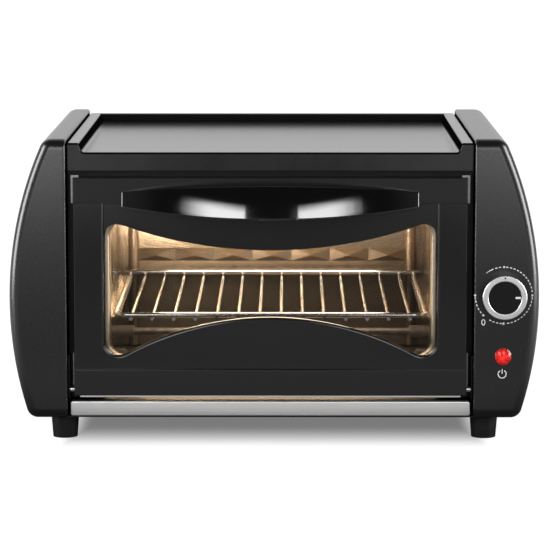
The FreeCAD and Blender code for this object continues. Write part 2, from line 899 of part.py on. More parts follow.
def cavity_side(side):
    name = side + "_cavity_wall"
    if side == "left":
        xs = ("cavity_left - sheet", "cavity_left")
        raised = ("cavity_left", "cavity_left + panel_raise")
    else:
        xs = ("cavity_right", "cavity_right + sheet")
        raised = ("cavity_right - panel_raise", "cavity_right")
    parts = [box(name + "_sheet", xs, ("frame_back", "cavity_back"), ("wall_low", "cavity_top"))]
    pitch = "(cavity_depth - 2 * panel_margin + panel_gap) / %d" % PANEL_COUNT
    for number in range(PANEL_COUNT):
        start = "frame_back + panel_margin + %s * %d" % (pitch, number)
        end = "%s + %s - panel_gap" % (start, pitch)
        parts.append(box("%s_panel_%d" % (name, number), raised, (start, end),
                         ("rack_level + panel_rise", "cavity_top - panel_drop")))
    holes = [rod("%s_%s_hole" % (name, tag), "X", (xs[0] + " - 1", xs[1] + " + 1"), spot,
                 "bushing_radius + bushing_gap") for tag, spot in element_spots().items()]
    publish(name, cut(name + "_final", union(name + "_panels", parts), holes))


EMBOSS_COUNT = 7


def cavity_back_wall():
    parts = [box("cavity_back_sheet", ("cavity_left - sheet", "cavity_right + sheet"),
                 ("cavity_back", "cavity_back + sheet"), ("wall_low", "cavity_top + sheet"))]
    pitch = "(cavity_width - 2 * emboss_margin) / %d" % EMBOSS_COUNT
    for number in range(EMBOSS_COUNT):
        facet = doc.addObject("Part::Wedge", "facet_%d" % number)
        bind(facet, "Xmin", "-(%s) / 2" % pitch)
        bind(facet, "Xmax", "%s / 2" % pitch)
        bind(facet, "Zmin", "0")
        bind(facet, "Zmax", "emboss_height")
        bind(facet, "Ymin", "0")
        bind(facet, "Ymax", "emboss_depth")
        for prop in ("X2min", "X2max"):
            bind(facet, prop, "0")
        for prop in ("Z2min", "Z2max"):
            bind(facet, prop, "emboss_height / 2")
        facet.Placement = turned(180)
        place(facet, "middle + %s * %d" % (pitch, number - EMBOSS_COUNT // 2), "cavity_back",
              "rack_level + emboss_rise")
        parts.append(facet)
    for side, x in (("left", "cavity_left + 2 * post_radius"), ("right", "cavity_right - 2 * post_radius")):
        post = rod(side + "_post_round", "Z", ("wall_low", "cavity_top"), (x, "cavity_back"), "post_radius")
        inside = box(side + "_post_half", (x + " - post_radius", x + " + post_radius"),
                     ("cavity_back - post_radius", "cavity_back"), ("wall_low", "cavity_top"))
        parts.append(common(side + "_post", [post, inside]))
    publish("cavity_back_wall", union("cavity_back_final", parts))


cavity_side("left")
cavity_side("right")
publish("cavity_roof", box("roof", ("cavity_left - sheet", "cavity_right + sheet"),
                           ("frame_back", "cavity_back"), ("cavity_top", "cavity_top + sheet")))
cavity_back_wall()


def rack_runner(side):
    ys = ("frame_back + lip_depth + runner_end_gap", "cavity_back - post_radius - runner_end_gap / 2")
    if side == "left":
        ledge_x = ("cavity_left", "cavity_left + runner_width")
        leg_x = ("cavity_left", "cavity_left + sheet")
    else:
        ledge_x = ("cavity_right - runner_width", "cavity_right")
        leg_x = ("cavity_right - sheet", "cavity_right")
    name = side + "_rack_runner"
    publish(name, union(name + "_angle", [
        box(name + "_ledge", ledge_x, ys, ("runner_top - sheet", "runner_top")),
        box(name + "_leg", leg_x, ys, ("runner_top - runner_leg", "runner_top"))]))


rack_runner("left")
rack_runner("right")


# Heating elements in ceramic bushings


def heating_elements():
    bushings = []
    for tag, spot in element_spots().items():
        ends = ("cavity_left - sheet - element_tail", "cavity_right + sheet + element_tail")
        tube = rod(tag + "_tube", "X", ends, spot, "element_radius")
        pin = rod(tag + "_pin", "X", (ends[0] + " - pin_tail", ends[1] + " + pin_tail"), spot,
                  "element_radius / 2")
        publish(tag + "_element", union(tag + "_element_final", [tube, pin]))
        for side, wall, sign in (("left", "cavity_left", "-"), ("right", "cavity_right", "+")):
            name = "%s_%s_bushing" % (tag, side)
            outside = "%s %s sheet" % (wall, sign)
            flange = [outside, "%s %s bushing_flange_thick" % (outside, sign)]
            inside = "%s %s bushing_reach" % (wall, "+" if sign == "-" else "-")
            neck = [flange[1], inside]
            if sign == "-":
                flange.reverse()
            else:
                neck.reverse()
            shell = union(name + "_shell", [rod(name + "_flange", "X", flange, spot, "bushing_flange"),
                                            rod(name + "_neck", "X", neck, spot, "bushing_radius")])
            bore = rod(name + "_bore", "X", (neck[0] + " - 1", neck[1] + " + 1"), spot,
                       "element_radius + bushing_gap")
            bushings.append(cut(name, shell, [bore]))
    publish("element_bushings", group("element_bushing_group", bushings))


heating_elements()


# Wire rack


BAR_COUNT = 14


def wire_rack():
    left = "middle - rack_width / 2 + rack_wire"
    right = "middle + rack_width / 2 - rack_wire"
    level = "rack_level"
    xs = (left + " + rack_bend", right + " - rack_bend")
    ys = ("rack_nose + rack_bend", "rack_tail - rack_bend")
    parts = [rod("rack_front_wire", "X", xs, ("rack_nose", level), "rack_wire"),
             rod("rack_rear_wire", "X", xs, ("rack_tail", level), "rack_wire"),
             rod("rack_left_wire", "Y", ys, (left, level), "rack_wire"),
             rod("rack_right_wire", "Y", ys, (right, level), "rack_wire")]
    for x, y, turn in ((xs[1], ys[1], 0), (xs[0], ys[1], 90), (xs[0], ys[0], 180), (xs[1], ys[0], 270)):
        bend = doc.addObject("Part::Torus", "rack_bend_%d" % turn)
        bind(bend, "Radius1", "rack_bend")
        bind(bend, "Radius2", "rack_wire")
        bend.Angle3 = 90
        bend.Placement = turned(turn)
        place(bend, x, y, level)
        parts.append(bend)
    bar_level = "rack_level - rack_wire - rack_bar + rack_sink"
    pitch = "(rack_width - 2 * (rack_wire + rack_bend + rack_bar_inset)) / %d" % (BAR_COUNT - 1)
    for number in range(BAR_COUNT):
        x = "middle + %s * %.1f" % (pitch, number - (BAR_COUNT - 1) / 2)
        parts.append(rod("rack_bar_%d" % number, "Y", ("rack_nose - rack_bar", "rack_tail + rack_bar"),
                         (x, bar_level), "rack_bar"))
    wing = ("rack_tail - rack_bend - rack_wing_inset", "rack_level + 2 * rack_wire - rack_sink")
    parts.append(rod("rack_wing", "X", ("cavity_left + rack_wing_gap", "cavity_right - rack_wing_gap"),
                     wing, "rack_wire"))
    publish("wire_rack", union("wire_rack_final", parts))


wire_rack()


# Crumb tray with its front lip


def crumb_tray():
    lip = new_body("tray_lip_body")
    face = "front + tray_lip_recess"
    pad(lip, "XZ", face, "tray_lip_thick", "+Y",
        [rounded(("tray_left", "tray_right"), ("foot_height + tray_lip_low", "pan_top"), "tray_lip_round")])
    soften(lip, "tray_lip_thick * 0.4", lambda edge: lies(edge, y=face))
    pan = box("tray_pan", ("tray_left + tray_lip_round", "tray_right - tray_lip_round"),
              (face + " + tray_lip_thick * 0.7", "cavity_back - tray_back_gap"),
              ("pan_top - tray_sheet", "pan_top"))
    publish("crumb_tray", union("crumb_tray_final", [lip, pan]))


crumb_tray()


# Door


def sill(grow):
    """Window outline with a straight top, straight sides and an arched sill, grown on every side."""
    small = "(window_round + (%s))" % grow
    large = "(sill_radius - (%s))" % grow
    share = "%s / (sill_radius + window_round)" % small
    touch = "sill_corner - (sill_corner - sill_centre) * " + share
    left_touch = "window_left + window_round + (sill_side) * " + share
    right_touch = "window_right - window_round - (sill_side) * " + share
    return [
        ("window_left - (%s)" % grow, "top_rail_low + (%s)" % grow),
        ("window_left - (%s)" % grow, "sill_corner", small, 1),
        (left_touch, touch, large, -1),
        (right_touch, touch, small, 1),
        ("window_right + (%s)" % grow, "sill_corner"),
        ("window_right + (%s)" % grow, "top_rail_low + (%s)" % grow),
    ]


def door_panel():
    body = new_body("door_panel_body")
    face = [rectangle(("door_left", "door_right"), ("door_low", "door_top"))]
    inside = rectangle(("door_left + panel_sheet", "door_right - panel_sheet"),
                       ("door_low + panel_sheet", "door_top - panel_sheet"))
    pad(body, "XZ", "panel_face", "glass_back - panel_face", "+Y", face)
    soften(body, "panel_round", lambda edge: lies(edge, y="panel_face"))
    pocket(body, "XZ", "glass_back", "glass_back - collar_back", "-Y", [inside])
    pocket(body, "XZ", "collar_back", "collar_depth", "-Y", [inside, sill("collar_width")])
    pocket(body, "XZ", "collar_back", "collar_back - panel_face", "-Y", [sill("0")])
    left = value("door_left") + 1
    right = value("door_right") - 1
    low = value("door_low") + 5
    high = value("door_top") - 5

    def window_edge(edge):
        inner = all(left < p.x < right and low < p.z < high for p in edge_points(edge))
        return inner and lies(edge, y="panel_face")

    soften(body, "window_edge", window_edge)
    holes = []
    for side, span in (("left", ("door_left - 1", "door_left + panel_sheet + 1")),
                       ("right", ("door_right - panel_sheet - 1", "door_right + 1"))):
        holes.append(rod(side + "_pin_hole", "X", span, ("hinge_y", "hinge_z"), "pin_radius + pin_gap"))
    for number, x in enumerate(handle_screw_xs()):
        holes.append(rod("panel_handle_hole_%d" % number, "Y", ("panel_face - 1", "panel_back + 1"),
                         (x, "handle_screw_z"), "screw_radius + screw_gap"))
    publish("door_panel", cut("door_panel_final", body, holes))


def handle_screw_xs():
    inset = "(handle_span / 2 - handle_screw_inset)"
    return ("middle - " + inset, "middle + " + inset)


def door_rail(name, low, high, screwed):
    body = new_body(name + "_body")
    spots = handle_screw_xs() if screwed else ()
    holes = [((x, "handle_screw_z"), "screw_radius + screw_gap") for x in spots]
    outline = rectangle(("door_left", "door_right"), (low, high))
    pad(body, "XZ", "rail_face", "rail_thick", "+Y", [outline], holes)
    left = value("door_left")
    right = value("door_right")
    bounds = (value(low), value(high))

    def rim(edge):
        points = edge_points(edge)
        across = all(abs(p.x - left) < 1e-3 or abs(p.x - right) < 1e-3 for p in points)
        along = any(all(abs(p.z - level) < 1e-3 for p in points) for level in bounds)
        return lies(edge, y="rail_face") and (across or along)

    soften(body, "rail_round", rim)
    publish(name, body)


def window_mask():
    body = new_body("window_mask_body")
    left = "window_left - mask_lap"
    right = "window_right + mask_lap"
    top = "top_rail_low + mask_lap"
    pad(body, "XZ", "collar_back", "mask_sheet", "+Y", [[
        (left, top), (left, "mask_corner"), ("window_left", "mask_corner", "mask_round", -1),
        ("window_left + mask_run", "mask_touch", "mask_radius", 1),
        ("window_right - mask_run", "mask_touch", "mask_round", -1),
        ("window_right", "mask_corner"), (right, "mask_corner"), (right, top)]])
    publish("window_mask", body)


def door_handle():
    ring = new_body("handle_ring_body")
    half = "(handle_middle / 2 + handle_trim)"
    section = [("handle_front", "handle_z - " + half),
               ("handle_front + handle_thick", "handle_z - " + half),
               ("handle_front + handle_thick", "handle_z + " + half),
               ("handle_front + handle_lean", "handle_z + " + half, "handle_barrel", 1)]
    sketch = draw(ring, "YZ", "middle", [section])
    centre = "handle_front + handle_radius"
    ends = [(centre, "0"), (centre, "handle_z")]
    points = [FreeCAD.Vector(value(y), value(z), 0) for y, z in ends]
    axis = sketch.addGeometry(Part.LineSegment(*points), True)
    fix_point(sketch, axis, 1, ends[0])
    fix_point(sketch, axis, 2, ends[1])
    turn = ring.newObject("PartDesign::Revolution", "handle_ring")
    turn.Profile = sketch
    turn.ReferenceAxis = (sketch, ["Axis0"])
    turn.Midplane = True
    bind(turn, "Angle", "2 * asin(handle_span / 2 / handle_radius) + 8 deg")
    doc.recompute()
    front = new_body("handle_front_body")
    rise = "((handle_middle - handle_end) / 2)"
    arch = "((handle_span / 2)^2 + %s^2) / (2 * %s)" % (rise, rise)
    low = "handle_z - handle_end / 2"
    high = "handle_z + handle_end / 2"
    left = "middle - handle_span / 2"
    right = "middle + handle_span / 2"
    pad(front, "XZ", "rail_face", "handle_bow + handle_trim", "-Y",
        [[(left, low, arch, 1), (right, low), (right, high, arch, 1), (left, high)]])
    bow = common("handle_bow_solid", [ring, front])
    pilots = [rod("handle_pilot_%d" % number, "Y", ("panel_back - screw_grip", "rail_face + 1"),
                  (x, "handle_screw_z"), "screw_radius + screw_gap")
              for number, x in enumerate(handle_screw_xs())]
    doc.recompute()
    smooth = doc.addObject("Part::Fillet", "handle_smooth")
    smooth.Base = bow
    radius = value("handle_round")
    limit = value("rail_face") - 0.01
    edges = []
    for number, edge in enumerate(bow.Shape.Edges, 1):
        if all(point.y < limit for point in edge_points(edge)[1:4]):
            edges.append((number, radius, radius))
    smooth.Edges = edges
    doc.recompute()
    publish("door_handle", cut("door_handle_final", smooth, pilots))


def glass_retainer(level, top, wing, tab_z):
    """A bar behind the glass whose two end tabs stand out beside the door."""
    name = level + "_glass_retainer"
    ys = ("glass_back", "retainer_back")
    publish(name, union(name + "_final", [
        box(name + "_bar", ("door_left", "door_right"), ys, (top + " - retainer_height", top)),
        box(name + "_left", ("door_left - " + wing, "door_left + tab_reach"), ys, tab_z),
        box(name + "_right", ("door_right - tab_reach", "door_right + " + wing), ys, tab_z)]))


def hinge_pin(side):
    name = side + "_hinge_pin"
    if side == "left":
        pin = ("body_left", "door_left + panel_sheet + block_length")
        block = ("door_left + panel_sheet", "door_left + panel_sheet + block_length")
    else:
        pin = ("door_right - panel_sheet - block_length", "body_right")
        block = ("door_right - panel_sheet - block_length", "door_right - panel_sheet")
    publish(name, union(name + "_final", [
        rod(name + "_rod", "X", pin, ("hinge_y", "hinge_z"), "pin_radius"),
        box(name + "_block", block, ("panel_back", "glass_back"),
            ("door_low + panel_sheet", "door_low + panel_sheet + block_height"))]))


door_panel()
door_rail("door_top_rail", "top_rail_low", "door_top", True)
door_rail("door_bottom_rail", "door_low", "door_low + low_rail_height", False)
window_mask()
publish("door_glass", box("glass", ("window_left - glass_lap", "window_right + glass_lap"),
                          ("glass_face", "glass_back"),
                          ("door_low + glass_low_gap", "door_top - glass_top_gap")))
glass_retainer("upper", "door_top - retainer_drop", "tab_wing",
               ("door_top + tab_rise - tab_height", "door_top + tab_rise"))
glass_retainer("lower", "door_low + retainer_lift + retainer_height", "low_tab_wing",
               ("hinge_z - low_tab_drop", "hinge_z - low_tab_drop + low_tab_height"))
publish("door_hem", box("hem", ("door_left + hem_inset", "door_right - hem_inset"),
                        ("rail_face + hem_recess", "panel_back"), ("door_low - hem_height", "door_low")))
door_handle()
hinge_pin("left")
hinge_pin("right")


# Timer, knob and pilot lamp


def controls():
    spot = ("control_x", "knob_z")
    half = "timer_size / 2"
    case = box("timer_case", ("control_x - " + half, "control_x + " + half),
               ("control_back", "timer_rear"), ("knob_z - " + half, "knob_z + " + half))
    bush = rod("timer_bush", "Y", ("front - knob_gap / 2", "control_back"), spot, "bush_radius")
    bore = rod("timer_bore", "Y", ("front - 1", "timer_rear - timer_depth / 2"), spot,
               "shaft_radius + shaft_gap")
    publish("timer_switch", cut("timer_switch_final", union("timer_cased", [case, bush]), [bore]))
    ends = ("cap_face + socket_floor", "timer_rear - timer_depth / 2 - sheet")
    publish("timer_shaft", rod("shaft", "Y", ends, spot, "shaft_radius"))
    skirt = rod("knob_skirt", "Y", ("ring_back", "front - knob_gap"), spot, "knob_radius")
    cap = rod("knob_cap", "Y", ("cap_face", "ring_back"), spot, "knob_radius - knob_ring_width")
    room = rod("knob_room", "Y", ("ring_back + knob_face_thick", "front"), spot, "knob_radius - knob_wall")
    hub = rod("knob_hub", "Y", ("ring_back", "front - knob_gap"), spot, "shaft_radius + knob_hub_wall")
    hollow = cut("knob_hollow", room, [hub])
    socket = rod("knob_socket", "Y", ("cap_face + socket_floor", "front"), spot, "shaft_radius + shaft_gap")
    tip = "control_x + knob_radius - knob_ring_width - pointer_margin"
    slot = (("%s - pointer_length" % tip, tip), ("cap_face", "cap_face + pointer_depth"),
            ("knob_z - pointer_width / 2", "knob_z + pointer_width / 2"))
    publish("timer_knob", cut("timer_knob_final", union("knob_turned", [skirt, cap]),
                              [hollow, socket, box("pointer_slot", *slot)]))
    publish("knob_pointer", box("pointer", *slot))
    ring = new_body("knob_ring_body")
    pad(ring, "XZ", "knob_face", "knob_ring_thick", "+Y",
        circles=[(spot, "knob_radius"), (spot, "knob_radius - knob_ring_width")])
    soften(ring, "knob_ring_thick * 0.35", lambda edge: lies(edge, y="knob_face"))
    publish("knob_ring", ring)

    lamp = ("control_x", "lamp_z")
    lens = new_body("pilot_lens_body")
    pad(lens, "XZ", "front", "lens_height", "-Y", circles=[(lamp, "lens_radius")])
    soften(lens, "lens_height - lens_flange", lambda edge: lies(edge, y="front - lens_height"))
    stem = rod("lens_stem_rod", "Y", ("front", "control_back + clip_thick"), lamp, "lens_stem")
    publish("pilot_lens", union("pilot_lens_final", [lens, stem]))
    seat = "control_back + clip_thick"
    holder = rod("lamp_holder", "Y", (seat, "control_back + lamp_length"), lamp, "lens_stem")
    disc = rod("lamp_disc", "Y", ("control_back", seat + " + clip_thick"), lamp, "lens_stem + clip_width")
    socket = rod("lamp_socket", "Y", ("control_back - 1", seat), lamp, "lens_stem + shaft_gap")
    publish("pilot_lamp", union("pilot_lamp_final", [holder, cut("lamp_clip", disc, [socket])]))


controls()


# Feet and screws


def feet():
    screws = []
    for tag, spot in foot_spots().items():
        shell = cone(tag + "_cone", "Z", ("0", "foot_height"), spot, ("foot_low_radius", "foot_top_radius"))
        recess = rod(tag + "_recess", "Z", ("-1", "foot_bore_depth"), spot, "foot_bore")
        bore = rod(tag + "_bore", "Z", ("0", "foot_height + 1"), spot, "screw_radius + screw_gap")
        publish(tag + "_foot", cut(tag + "_foot_final", shell, [recess, bore]))
        screws.append(screw(tag + "_foot_screw", "Z", "foot_bore_depth", -1, spot,
                            "(foot_height - foot_bore_depth + sheet + screw_end)"))
    publish("foot_screws", group("foot_screw_group", screws))


feet()
publish("cheek_screws", group("cheek_screw_group", [
    screw("%s_cheek_screw_%d" % (side, number), "X", seat, outward, spot)
    for side, seat, outward in (("left", "body_left + sheet", 1), ("right", "body_right - sheet", -1))
    for number, spot in enumerate(boss_spots())]))
publish("back_screws", group("back_screw_group", [
    screw("back_screw_%d" % number, "Y", "back_face", 1, spot)
    for number, spot in enumerate(back_screw_spots())]))
publish("handle_screws", group("handle_screw_group", [
    screw("handle_screw_%d" % number, "Y", "panel_back", 1, (x, "handle_screw_z"))
    for number, x in enumerate(handle_screw_xs())]))


# Mains gland, terminal block, thermostat and wiring


def mains_gland():
    spot = ("gland_x", "gland_z")
    seat = "back_face + gland_disc_thick"
    inner = "back_face - sheet"
    parts = [rod("gland_disc", "Y", ("back_face", seat), spot, "gland_flange"),
             cone("gland_boot", "Y", (seat, "back_face + gland_reach"), spot,
                  ("gland_radius + gland_taper", "gland_radius - gland_taper")),
             rod("gland_stem", "Y", (inner + " - gland_neck", "back_face"), spot, "gland_radius"),
             rod("gland_ring", "Y", (inner + " - gland_nut_thick", inner), spot, "gland_nut")]
    bore = rod("gland_hole", "Y", (inner + " - gland_neck - 1", "back_face + gland_reach + 1"), spot,
               "gland_bore")
    publish("mains_gland", cut("mains_gland_final", union("gland_solid", parts), [bore]))


def terminal_block():
    publish("terminal_block", box(
        "terminals", ("body_right - sheet - terminal_depth", "body_right - sheet"),
        ("rear - terminal_rear - terminal_length", "rear - terminal_rear"),
        ("terminal_low", "terminal_low + terminal_height")))


def thermostat():
    wall = "cavity_right + sheet"
    y = "(frame_back + cavity_back) / 2"
    z = "cavity_top - thermostat_drop"
    publish("thermostat", union("thermostat_final", [
        rod("thermostat_cap", "X", (wall, wall + " + thermostat_height"), (y, z), "thermostat_radius"),
        box("thermostat_plate", (wall, wall + " + thermostat_tab_thick"),
            (y + " - thermostat_base / 2", y + " + thermostat_base / 2"),
            (z + " - thermostat_tab / 2", z + " + thermostat_tab / 2"))]))


mains_gland()
terminal_block()
thermostat()


def wire_run(name, stops, bend):
    """A round wire along straight runs joined by equal bends."""
    points = [FreeCAD.Vector(*[value(text) for text in stop]) for stop in stops]
    reach = value(bend)
    edges = []
    start = points[0]
    for index in range(1, len(points) - 1):
        corner = points[index]
        back = (points[index - 1] - corner).normalize()
        ahead = (points[index + 1] - corner).normalize()
        leave = corner + back * reach
        join = corner + ahead * reach
        middle = corner + (back + ahead) * reach * (1 - 0.5 ** 0.5)
        edges.append(Part.makeLine(start, leave))
        edges.append(Part.Arc(leave, middle, join).toShape())
        start = join
    edges.append(Part.makeLine(start, points[-1]))
    path = Part.Wire(edges)
    ring = Part.Wire(Part.makeCircle(value("wire_radius"), points[0], points[1] - points[0]))
    item = doc.addObject("Part::Feature", name)
    item.Shape = path.makePipeShell([ring], True, False)
    return item


block_x = "body_right - sheet - terminal_depth / 2"
lead_z = "terminal_low + lead_rise"
lamp_x = "control_x + lamp_lead_side"
lamp_y = "timer_rear + lamp_lead_reach"
lamp_tap = "knob_z - lamp_lead_drop"
publish("internal_wiring", group("wiring_group", [
    wire_run("timer_lead", [
        (block_x, "rear - terminal_rear - terminal_length", lead_z),
        (block_x, "lead_y", lead_z),
        (block_x, "lead_y", "knob_z"),
        ("control_x", "lead_y", "knob_z"),
        ("control_x", "timer_rear", "knob_z")], "lead_bend"),
    wire_run("lamp_lead", [
        (lamp_x, "timer_rear", lamp_tap),
        (lamp_x, lamp_y, lamp_tap),
        (lamp_x, lamp_y, "lamp_z"),
        ("control_x", lamp_y, "lamp_z"),
        ("control_x", "control_back + lamp_length", "lamp_z")], "lamp_lead_bend"),
]))


# Checks and export

doc.recompute()
for item in doc.Objects:
    if any(word in item.State for word in ("Invalid", "Error")):
        raise ValueError(item.Name + " is in a bad state")
os.makedirs("parts", exist_ok=True)
for label, item in pieces.items():
    shape = item.Shape
    if shape.isNull() or not shape.isValid() or not shape.Solids:
        raise ValueError(label + " has no valid solid")
    shape.exportStep("parts/%s.step" % label)
print("%d sub-parts written" % len(pieces))
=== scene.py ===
import json
import math

import bmesh
import bpy
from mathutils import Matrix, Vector

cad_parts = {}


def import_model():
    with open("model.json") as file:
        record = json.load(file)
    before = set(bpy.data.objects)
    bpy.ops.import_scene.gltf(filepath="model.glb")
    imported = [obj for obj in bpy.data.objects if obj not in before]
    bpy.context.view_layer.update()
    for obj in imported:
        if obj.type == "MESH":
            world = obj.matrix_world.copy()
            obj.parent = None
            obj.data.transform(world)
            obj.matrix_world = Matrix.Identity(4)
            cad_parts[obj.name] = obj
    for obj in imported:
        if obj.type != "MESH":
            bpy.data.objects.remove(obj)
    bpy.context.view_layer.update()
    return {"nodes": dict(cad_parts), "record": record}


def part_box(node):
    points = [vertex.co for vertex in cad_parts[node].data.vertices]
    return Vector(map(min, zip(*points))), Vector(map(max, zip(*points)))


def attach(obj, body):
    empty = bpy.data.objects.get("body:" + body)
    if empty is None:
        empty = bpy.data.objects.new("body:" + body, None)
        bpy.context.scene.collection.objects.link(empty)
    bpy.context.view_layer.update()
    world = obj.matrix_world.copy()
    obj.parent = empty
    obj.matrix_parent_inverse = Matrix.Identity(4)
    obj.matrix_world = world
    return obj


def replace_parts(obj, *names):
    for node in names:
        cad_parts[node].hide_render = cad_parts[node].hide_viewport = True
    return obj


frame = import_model()
nodes = frame["nodes"]
scene = bpy.context.scene
scene.view_settings.view_transform = "Standard"

MM = 0.001
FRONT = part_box("right_cheek")[0].y
CONTROL_X = (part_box("knob_ring")[0].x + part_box("knob_ring")[1].x) / 2
KNOB_Z = (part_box("knob_ring")[0].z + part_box("knob_ring")[1].z) / 2
LAMP_Z = (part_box("pilot_lens")[0].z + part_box("pilot_lens")[1].z) / 2


# Node arithmetic

NOISE_LOW = 0.3
NOISE_HIGH = 0.7


def axes(tree, source, kind="ShaderNodeTexCoord"):
    """The X, Y and Z of a coordinate."""
    place = tree.nodes.new(kind)
    parts = tree.nodes.new("ShaderNodeSeparateXYZ")
    tree.links.new(place.outputs[source], parts.inputs[0])
    return parts.outputs


def spread(tree, term, low, high, start=NOISE_LOW, end=NOISE_HIGH, curve="LINEAR"):
    """A term that runs from start to end, mapped to run from low to high."""
    made = tree.nodes.new("ShaderNodeMapRange")
    made.interpolation_type = curve
    for name, number in (("From Min", start), ("From Max", end), ("To Min", low), ("To Max", high)):
        made.inputs[name].default_value = number
    tree.links.new(term, made.inputs["Value"])
    return made.outputs["Result"]


def eased(tree, term, reach, low=0.0, high=1.0):
    return spread(tree, term, low, high, *reach, "SMOOTHSTEP")


def mixed(tree, factor, low, high):
    return spread(tree, factor, low, high, 0.0, 1.0)


def arithmetic(tree, operation, *terms):
    made = tree.nodes.new("ShaderNodeMath")
    made.operation = operation
    for socket, term in zip(made.inputs, terms):
        if isinstance(term, (int, float)):
            socket.default_value = term
        else:
            tree.links.new(term, socket)
    return made.outputs[0]


def absolute(tree, term):
    return arithmetic(tree, "ABSOLUTE", term)


def added(tree, first, second):
    return arithmetic(tree, "ADD", first, second)


def multiplied(tree, first, second):
    return arithmetic(tree, "MULTIPLY", first, second)


def larger(tree, first, second):
    return arithmetic(tree, "MAXIMUM", first, second)


# Materials


class Surface:
    """A procedural material round one Principled shader, textured in object space."""

    def __init__(self, name, **sockets):
        self.material = bpy.data.materials.new(name)
        self.material.use_nodes = True
        self.tree = self.material.node_tree
        self.shader = self.tree.nodes["Principled BSDF"]
        self.normal = None
        for socket, number in sockets.items():
            self.shader.inputs[socket.replace("_", " ")].default_value = number

    def node(self, kind, **inputs):
        made = self.tree.nodes.new(kind)
        for name, number in inputs.items():
            made.inputs[name].default_value = number
        return made

    def link(self, start, end):
        self.tree.links.new(start, end)

    def coords(self, stretch=(1, 1, 1)):
        place = self.node("ShaderNodeTexCoord")
        scaled = self.node("ShaderNodeMapping", Scale=stretch)
        self.link(place.outputs["Object"], scaled.inputs["Vector"])
        return scaled.outputs["Vector"]

    def noise(self, scale, detail=3.0, rough=0.55, stretch=(1, 1, 1)):
        made = self.node("ShaderNodeTexNoise", Scale=scale, Detail=detail, Roughness=rough)
        self.link(self.coords(stretch), made.inputs["Vector"])
        return made.outputs["Fac"]

    def colour(self, factor, stops):
        """Base colour from a ramp of (position, colour) stops."""
        ramp = self.node("ShaderNodeValToRGB")
        elements = ramp.color_ramp.elements
        while len(elements) < len(stops):
            elements.new(0.5)
        for element, (position, colour) in zip(elements, stops):
            element.position = position
            element.color = (*colour, 1)
        self.link(factor, ramp.inputs["Fac"])
        self.link(ramp.outputs["Color"], self.shader.inputs["Base Color"])

    def mottle(self, factor, dark, light):
        """Base colour from a noise, between two colours."""
        self.colour(factor, [(NOISE_LOW, dark), (NOISE_HIGH, light)])

    def rough(self, factor, low, high):
        self.link(spread(self.tree, factor, low, high), self.shader.inputs["Roughness"])

    def bump(self, factor, depth):
        made = self.node("ShaderNodeBump", Strength=1.0, Distance=depth)
        self.link(factor, made.inputs["Height"])
        if self.normal is not None:
            self.link(self.normal, made.inputs["Normal"])
        self.normal = made.outputs["Normal"]
        self.link(self.normal, self.shader.inputs["Normal"])

    def mould_grain(self, rough, depth):
        """The fine spark-eroded grain of moulded plastic."""
        self.rough(self.noise(220), *rough)
        self.bump(self.noise(1400, 4, 0.6), depth)

    def orange_peel(self, rough):
        """The faint ripple of stoved enamel."""
        self.rough(self.noise(300), *rough)
        self.bump(self.noise(420, 2, 0.4), 2e-6)
        self.bump(self.noise(2600, 2), 6e-7)

    def brush_lines(self, rough, stretch):
        """Fine rolling or brushing lines along one axis."""
        lines = self.noise(1800, 4, 0.65, stretch)
        self.rough(lines, *rough)
        self.bump(lines, 1.5e-6)


EVEN = (1, 1, 1)
ALONG_TRAY = (0.03, 1, 1)
ALONG_STEEL = (0.04, 1, 1)


def grey(level, warm=0.0):
    return (level * (1 + warm), level, level * (1 - warm))


def moulded(name, dark, light, rough, depth=3e-6, **sockets):
    """Moulded plastic."""
    made = Surface(name, **sockets)
    made.mottle(made.noise(60, 4), dark, light)
    made.mould_grain(rough, depth)
    return made.material


def painted(name, dark, light, rough, **sockets):
    """Stoved enamel on sheet steel."""
    made = Surface(name, **sockets)
    made.mottle(made.noise(45, 5), dark, light)
    made.orange_peel(rough)
    return made.material


def brush_tone(made, stretch):
    return made.noise(500, 4, 0.6, stretch)


def brushed(name, dark, light, rough, stretch=EVEN):
    """Brushed or rolled metal."""
    made = Surface(name, Metallic=1.0)
    made.mottle(brush_tone(made, stretch), dark, light)
    made.brush_lines(rough, stretch)
    return made.material


CAVITY_SHADE_HEIGHT = (0.095, 0.165)
TINT_PATCHES = 0.05


def cavity_steel(name, rough):
    """Aluminised sheet with a straw-coloured heat tint, and painted shade that darkens it towards
    the cavity's bottom.
    """
    made = Surface(name, Metallic=0.92)
    # painted shade: the colour runs darker and browner towards the cavity's bottom
    height = spread(made.tree, axes(made.tree, "Object")["Z"], 0.0, 0.8, *CAVITY_SHADE_HEIGHT)
    tone = arithmetic(made.tree, "MULTIPLY_ADD", made.noise(22, 4, 0.5), TINT_PATCHES, height)
    made.colour(tone, [(0.05, (0.10, 0.075, 0.05)), (0.5, (0.34, 0.26, 0.18)),
                       (0.95, (0.60, 0.50, 0.39))])
    made.rough(made.noise(160, 4), *rough)
    made.bump(made.noise(24, 2), 8e-6)
    made.bump(made.noise(1500, 3, 0.6, (1, 0.08, 1)), 1e-7)
    return made.material


FASCIA_DEPTH = (0.0005, 0.002)
FASCIA_MIDDLE = (0.05, 0.18)
FASCIA_SHEEN_TONE = (0.18, 0.45)
BROW_DEPTH = (0.003, 0.0045)
RIM_SHADE_SHARE = 0.75


